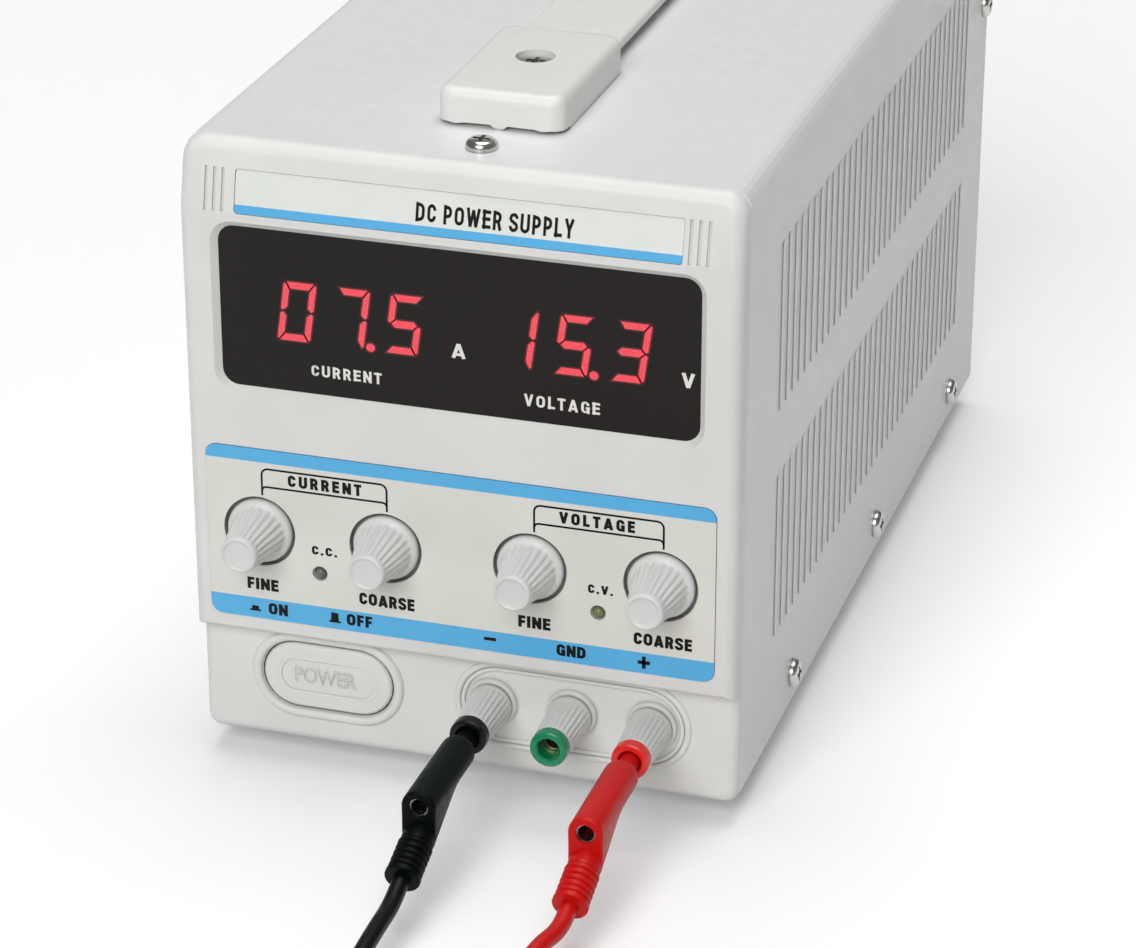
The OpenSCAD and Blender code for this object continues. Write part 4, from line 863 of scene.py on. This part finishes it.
stem = [(LOW, 0), (LOW, 1)]
s_curve = ([(0.48, 0.7)] + bend(0.3, 0.72, 0.18, 0, 90) + bend(0.28, 0.71, 0.18, 90, 270)
           + bend(0.3, 0.29, 0.19, 90, -90) + bend(0.28, 0.28, 0.18, 270, 180) + [(0.1, 0.31)])
letters = {
    "A": (0.7, [[(0.1, 0), (0.35, 0.97)], [(0.6, 0), (0.35, 0.97)], [(0.2, 0.25), (0.5, 0.25)]]),
    "C": (0.6, [open_round(0.6)]), "D": (0.62, [stem, bowl(0.62, LOW, HIGH_LINE, 0.24)]),
    "E": (0.53, [stem, [(0, LOW), (0.53, LOW)], [(0, 0.52), (0.5, 0.52)],
                 [(0, HIGH_LINE), (0.53, HIGH_LINE)]]),
    "F": (0.5, [stem, [(0, 0.48), (0.46, 0.48)], [(0, HIGH_LINE), (0.5, HIGH_LINE)]]),
    "G": (0.62, [open_round(0.62), [(0.34, 0.44), (0.62, 0.44)], [(0.515, 0.5), (0.515, 0)]]),
    "I": (PEN, [stem]), "L": (0.5, [stem, [(0, LOW), (0.5, LOW)]]),
    "N": (0.64, [stem, [(0.535, 0), (0.535, 1)], [(0.12, 0.93), (0.52, 0.07)]]),
    "O": (0.64, [open_round(0.64) + [(0.535, 0.64)]]), "P": (0.58, [stem, bowl(0.58, 0.42, HIGH_LINE)]),
    "R": (0.6, [stem, bowl(0.58, 0.45, HIGH_LINE, 0.18), [(0.36, 0.45), (0.5, 0)]]),
    "S": (0.58, [s_curve]),
    "T": (0.56, [[(0.28, 0), (0.28, 1)], [(0, HIGH_LINE), (0.56, HIGH_LINE)]]),
    "U": (0.62, [[(LOW, 1)] + bend(0.305, 0.305, 0.2, 180, 270) + bend(0.315, 0.305, 0.2, 270, 360)
                 + [(0.515, 1)]]),
    "V": (0.66, [[(0.1, 1), (0.33, 0.03)], [(0.56, 1), (0.33, 0.03)]]),
    "W": (0.9, [[(0.1, 1), (0.27, 0.03)], [(0.27, 0.03), (0.45, 0.9)], [(0.45, 0.9), (0.63, 0.03)],
                [(0.63, 0.03), (0.8, 1)]]),
    "Y": (0.64, [[(0.1, 1), (0.32, 0.42)], [(0.54, 1), (0.32, 0.42)], [(0.32, 0.45), (0.32, 0)]]),
    ".": (PEN, [[(LOW, 0), (LOW, PEN)]]), " ": (0.2, [])}


def distinct(points):
    """The points of a line without any that repeats the next one."""
    kept = [p for p, q in zip(points, points[1:]) if (Vector(p) - Vector(q)).length > SAME]
    return kept + [points[-1]]


def lettered(text, width, height, gap, pen=PEN):
    """A word in stroke letters, width by height millimetres round its own middle."""
    long = sum(letters[c][0] for c in text) + gap * (len(text) - 1)
    whole, x = bmesh.new(), -long / 2
    for c in text:
        wide, lines = letters[c]
        for layer, line in enumerate(lines):
            shape = stroke(distinct([(px + x, pz - MID) for px, pz in line]), pen)
            # each stroke stands a little higher than the last, so that no two faces share a plane
            bmesh.ops.translate(shape, vec=(0, -STROKE_STEP * layer, 0), verts=shape.verts)
            add_to(whole, shape)
        x += wide + gap
    bmesh.ops.scale(whole, vec=(width / long, 1, height), verts=whole.verts)
    return whole


print("letters", "".join(letters))

# %% [markdown]
# The label's legends are the words round the knobs, the names of the lamps and the signs of the switch
# and the posts. Brackets with rounded corners tie each pair of knobs to its heading.

# %% Legends on the label
LINE = 0.5
LEGEND_Y = -0.305
words = [
    ("CURRENT", -33, 78.8, 18.6, 3, 0.24), ("VOLTAGE", 34.5, 78.8, 18.4, 3, 0.24),
    ("FINE", -49.6, 50.3, 8, 3.1, 0.11), ("COARSE", -17.9, 50.3, 14, 3.15, 0.11),
    ("FINE", 19.1, 50.3, 8, 3.1, 0.11), ("COARSE", 50.7, 50.1, 14.2, 3.15, 0.11),
    ("C.C.", -33.5, 61.4, 6.4, 2.3, 0.2), ("C.V.", 35.4, 61.4, 6.1, 2.3, 0.2),
    ("ON", -45.9, 44, 4.9, 3.05, 0.11), ("OFF", -25, 44.1, 6.5, 3.05, 0.11),
    ("GND", 28.2, 44.1, 7.2, 3.05, 0.11)]


def bracket(x0, x1, top=81.1, second=76.4, foot=74.1, corner=1.6):
    """A heading's two lines: one over it that runs down to the knobs, and one under it."""
    def span(z, r):
        return bend(x0 + r, z - r, r, 180, 90) + bend(x1 - r, z - r, r, 90, 0)

    over = [(x0, foot)] + span(top, corner) + [(x1, foot)]
    return [stroke(over, LINE), stroke(span(second, corner * 0.7), LINE)]


switch_in = [bar(-53.2, -50.35, 42.85, 43.3),
             flat([(-52.7, 43.3), (-50.8, 43.3), (-50.9, 44.2), (-52.6, 44.3)])]
switch_out = [bar(-32.8, -29.8, 42.7, 43.15),
              flat([(-32.3, 43.15), (-30.3, 43.15), (-30.4, 45.3), (-32.2, 45.4)])]
minus = [bar(6.5, 9.5, 43.88, 44.72)]
plus = [bar(44.6, 47.65, 43.42, 44.36), bar(45.66, 46.58, 42.3, 45.5)]
signs = bracket(-48.95, -17.4) + bracket(19.15, 50.65) + switch_in + switch_out + minus + plus
legend = [(lettered(text, width, height, gap), x, z) for text, x, z, width, height, gap in words]
legend += [(shape, 0, 0) for shape in signs]
joined("label_legends", legend, ink, LEGEND_Y)
print("legends", len(legend))

# %% [markdown]
# The display's own print is white. The figures are seven-segment digits that shine through the window.
# Each segment has a bright core and a wider dark red skirt, as it has behind tinted acrylic.

# %% Display figures
WINDOW_Y = 1.5
DIGIT_SLANT = math.tan(math.radians(8))
WIDE, HIGH, UP, ACROSS = 4.05, 7.4, 1.5, 1.66
POINT_R = 1.05
SKIRT = 0.38
across = [(-3.4, HIGH), (3.4, HIGH), (WIDE - UP - 0.3, HIGH - ACROSS), (UP + 0.3 - WIDE, HIGH - ACROSS)]
upright = [(3.66, 7.1), (WIDE, 6.75), (WIDE, 0.62), (3.5, 0.16), (WIDE - UP, 1.15), (WIDE - UP, 5.3)]
middle_bar = [(-3.15, 0), (-2.2, 0.93), (2.2, 0.93), (3.15, 0), (2.2, -0.93), (-2.2, -0.93)]
segments = {part: [(x * right, z * up) for x, z in form] for part, form, right, up in (
    ("a", across, 1, 1), ("b", upright, 1, 1), ("c", upright, 1, -1), ("d", across, 1, -1),
    ("e", upright, -1, -1), ("f", upright, -1, 1), ("g", middle_bar, 1, 1))}
figures = {"0": "abcdef", "1": "bc", "3": "abcdg", "5": "acdfg", "7": "abc"}
FIGURES_Z = 121.85
readings = [("0", -39.3), ("7", -26.05), ("5", -12.8), ("1", 14.9), ("5", 28.3), ("3", 41.9)]
points_at = [(-21.2, 115.1), (33.1, 115.0)]


def grown(polygon, by):
    """A convex polygon with every side moved outwards."""
    middle = Vector((sum(p[0] for p in polygon), sum(p[1] for p in polygon))) / len(polygon)
    sides = []
    for k, p in enumerate(polygon):
        a, b = Vector(p), Vector(polygon[(k + 1) % len(polygon)])
        out = Vector(((b - a).y, -(b - a).x)).normalized()
        out = out if out.dot(a - middle) > 0 else -out
        sides.append((out, out.dot(a) + by))
    corners = []
    for k, (n, d) in enumerate(sides):
        m, e = sides[k - 1]
        det = m.x * n.y - m.y * n.x
        corners.append(((e * n.y - d * m.y) / det, (m.x * d - n.x * e) / det))
    return corners


def figure_shapes(by):
    """The lit segments and points, each grown by some millimetres."""
    shapes = []
    for figure, x in readings:
        for part in figures[figure]:
            outline = [(px + pz * DIGIT_SLANT, pz) for px, pz in grown(segments[part], by)]
            shapes.append((flat(outline), x, FIGURES_Z))
    return shapes + [(flat(bend(0, 0, POINT_R + by, 0, 345, 23)), x, z) for x, z in points_at]


def glow(name, bright, dim, strength, mesh_mm):
    """A shining finish with the fine dot pattern of a lit display."""
    material, tree, shader = new_finish(name)
    where = add(tree, "TexCoord").outputs["Object"]
    dots = add(tree, "TexVoronoi", {"Vector": where, "Scale": 1 / (mesh_mm * MM), "Randomness": 0.35})
    tone = ramp(tree, dots.outputs["Distance"], [(0.15, bright), (0.75, dim)])
    dress_shader(tree, shader, shaded(dim, 0.4), 0.4, depth=0.001)
    tree.links.new(tone, shader.inputs["Emission Color"])
    shader.inputs["Emission Strength"].default_value = strength
    return material


digit_red = glow("digit_red", rgb(244, 92, 104), rgb(214, 52, 66), 0.84, 0.55)
digit_skirt = glow("digit_skirt", rgb(96, 14, 20), rgb(60, 10, 14), 0.7, 0.5)
joined("display_skirts", figure_shapes(SKIRT), digit_skirt, WINDOW_Y - 0.005)
joined("display_figures", figure_shapes(0), digit_red, WINDOW_Y - 0.03)
window_legend = [(lettered(text, width, height, 0.16, 0.18), x, z) for text, x, z, width, height in (
    ("A", 0.4, 117.0, 3.6, 3.7), ("V", 55.5, 116.6, 3.3, 3.7), ("CURRENT", -27.4, 107.5, 17.6, 2.9),
    ("VOLTAGE", 25.4, 106.8, 18.4, 3.1))]
joined("window_legends", window_legend, white_ink, WINDOW_Y - 0.005)
print("display shows", "".join(r[0] for r in readings))

# %% [markdown]
# The power button carries a low oval line and its name in raised outlines, in the same plastic. The
# name is the one word in Blender's own font, whose outline takes a round bevel.

# %% Button relief
BUTTON_X, BUTTON_Z, BUTTON_Y = -35.3, 24.5, 3.85
FONT_HEIGHT = 0.73


def oval(width, height, steps=20):
    """Points round an oval with half-round ends."""
    r = height / 2
    end = bend(width / 2 - r, 0, r, -90, 90, steps)
    return end + [(-x, -z) for x, z in end]


def bead_ring(name, points, radius, material, x, y, z, body):
    """A round bead along a closed line of (x, z) points."""
    data = bpy.data.curves.new(name, "CURVE")
    data.dimensions = "3D"
    data.bevel_depth = UNIT_BEVEL
    data.bevel_resolution = 3
    line = data.splines.new("POLY")
    line.points.add(len(points) - 1)
    line.use_cyclic_u = True
    for knot, (px, pz) in zip(line.points, points):
        knot.co = (px * MM, 0, pz * MM, 1)
        knot.radius = radius * MM
    return place(linked(name, data, material), x, y, z, body)


def outlined(text, width, height, line):
    """A text in round outlines, width by height millimetres round its own middle."""
    data = bpy.data.curves.new("words", "FONT")
    data.body = text
    data.resolution_u = 4
    data.fill_mode = "NONE"
    data.bevel_depth = line / height * FONT_HEIGHT
    data.bevel_resolution = 2
    typed = in_scene("words", data)
    mesh = evaluated(typed)
    bpy.data.objects.remove(typed)
    xs = [v.co.x for v in mesh.vertices]
    ys = [v.co.y for v in mesh.vertices]
    wide, high = width / (max(xs) - min(xs)), height / (max(ys) - min(ys))
    shape = bmesh.new()
    shape.from_mesh(mesh)
    bpy.data.meshes.remove(mesh)
    for v in shape.verts:
        v.co = Vector(((v.co.x - (max(xs) + min(xs)) / 2) * wide, -v.co.z * high,
                       (v.co.y - (max(ys) + min(ys)) / 2) * high))
    return shape


bead_ring("button_oval", oval(26.4, 9.2), 0.42, panel_plastic,
          BUTTON_X, BUTTON_Y + 0.3, BUTTON_Z, "power_button")
joined("button_name", [(outlined("POWER", 16.2, 4.5, 0.22), BUTTON_X - 0.6, BUTTON_Z + 0.1)],
       panel_plastic, BUTTON_Y + 0.35, "power_button")
print("button relief done")

# %% [markdown]
# The strap is one soft length of vinyl, while the CAD model folds it between two stiff arms. A single
# band stands for both. It follows an arm at each end and bends in between, so it lifts into an arch.

# %% Strap
BAND_EDGE = 1.2
BAND_SLICES = 58
BAND_REACH = 0.048
front_arm, rear_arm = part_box("strap_front_arm"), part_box("strap_rear_arm")
half, thick = [(high - low) / 2 / MM - BAND_EDGE for low, high in zip(front_arm[0].xz, front_arm[1].xz)]
band_outline = []
for side, up, start in ((1, 1, 0), (-1, 1, 90), (-1, -1, 180), (1, -1, 270)):
    band_outline += bend(side * half, up * thick, BAND_EDGE, start, start + 90, 4)
band_length = (rear_arm[1].y - front_arm[0].y) / MM
band_rings = [[(x, band_length * k / BAND_SLICES, z) for x, z in band_outline]
              for k in range(BAND_SLICES + 1)]
band = linked("strap_band", loft("strap_band", band_rings), handle_vinyl)
mid_x, mid_z = [(low + high) / 2 for low, high in zip(front_arm[0].xz, front_arm[1].xz)]
band.location = (mid_x, front_arm[0].y, mid_z)
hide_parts("strap_front_arm", "strap_rear_arm")
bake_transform(band, "strap_front_arm", "strap_rear_arm", start=(mid_x, rear_arm[0].y - BAND_REACH, mid_z),
         end=(mid_x, rear_arm[0].y + BAND_REACH, mid_z))
smoothed(band, 40)
print("strap", round(band_length), "mm long")

# %% [markdown]
# The strip over the display only says what the object is.

# %% Strip print
STRIP_LEAN = math.radians(12.5)
WORDS_X, WORDS_Z = 9.45, 150.35
strip_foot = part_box("name_strip")[0]
words_y = (strip_foot.y - face_y) / MM + (WORDS_Z - strip_foot.z / MM) * math.tan(STRIP_LEAN) - 0.05
strip_text = lettered("DC POWER SUPPLY", 38, 4.5, 0.11, 0.175)
strip_words = joined("strip_words", [(strip_text, 0, 0)], ink, 0)
strip_words.location = at(WORDS_X, words_y, WORDS_Z)
strip_words.rotation_euler = (-STRIP_LEAN, 0, 0)
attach(strip_words, "housing")
print("strip printed")

# %% [markdown]
# The studio is one large sheet of pale paper. What the camera, a mirror or glass sees of it is paler
# than the light that it gives back, so it looks nearly white and still leaves the case its shadows.
# Two large soft lights, one high in front and one overhead, light it evenly.

# %% Floor and light
FLOOR_LIFT = 0.145
FLOOR_SEEN, FLOOR_BOUNCE = (241, 241, 241), (215, 215, 215)
FLOOR_HALF = 4
KEY = {"spot": (0.0, -6.4, 4.2), "aim": (0, 0, 0.08), "size": 4.9, "power": 362}
OVERHEAD = {"spot": (0.05, 0.75, 5.5), "aim": (0, 0, 0.1), "size": 4.4, "power": 176}
SKY, SKY_STRENGTH = (0.97, 0.98, 1.0, 1), 0.16
corners = [(x * FLOOR_HALF, y * FLOOR_HALF, 0) for x, y in ((-1, -1), (1, -1), (1, 1), (-1, 1))]
floor_mesh = bpy.data.meshes.new("floor")
floor_mesh.from_pydata(corners, [], [(0, 1, 2, 3)])
floor_material, tree, shader = new_finish("floor_paper")
rays = add(tree, "LightPath").outputs
seen = rays["Is Camera Ray"]
for kind in ("Is Glossy Ray", "Is Transmission Ray"):
    seen = add(tree, "Math", {0: seen, 1: rays[kind]}, operation="MAXIMUM").outputs[0]
paper = ramp(tree, seen, [(0.0, rgb(*FLOOR_BOUNCE)), (1.0, rgb(*FLOOR_SEEN))])
dress_shader(tree, shader, paper, 0.8, skin_mm=2, depth=0.002)
lift = add(tree, "Math", {0: seen, 1: FLOOR_LIFT}, operation="MULTIPLY")
shader.inputs["Emission Color"].default_value = (1, 1, 1, 1)
tree.links.new(lift.outputs[0], shader.inputs["Emission Strength"])
linked("floor", floor_mesh, floor_material)


def softbox(name, spot, aim, size, power):
    light = bpy.data.lights.new(name, "AREA")
    light.shape, light.size, light.energy = "DISK", size, power
    lamp = in_scene(name, light)
    lamp.location = spot
    lamp.rotation_euler = (Vector(aim) - Vector(spot)).to_track_quat("-Z", "Y").to_euler()


softbox("key_light", **KEY)
softbox("top_light", **OVERHEAD)
world = bpy.data.worlds.new("studio")
bpy.context.scene.world = world
world.use_nodes = True
sky = world.node_tree.nodes["Background"].inputs
sky["Color"].default_value, sky["Strength"].default_value = SKY, SKY_STRENGTH
print("studio lit")
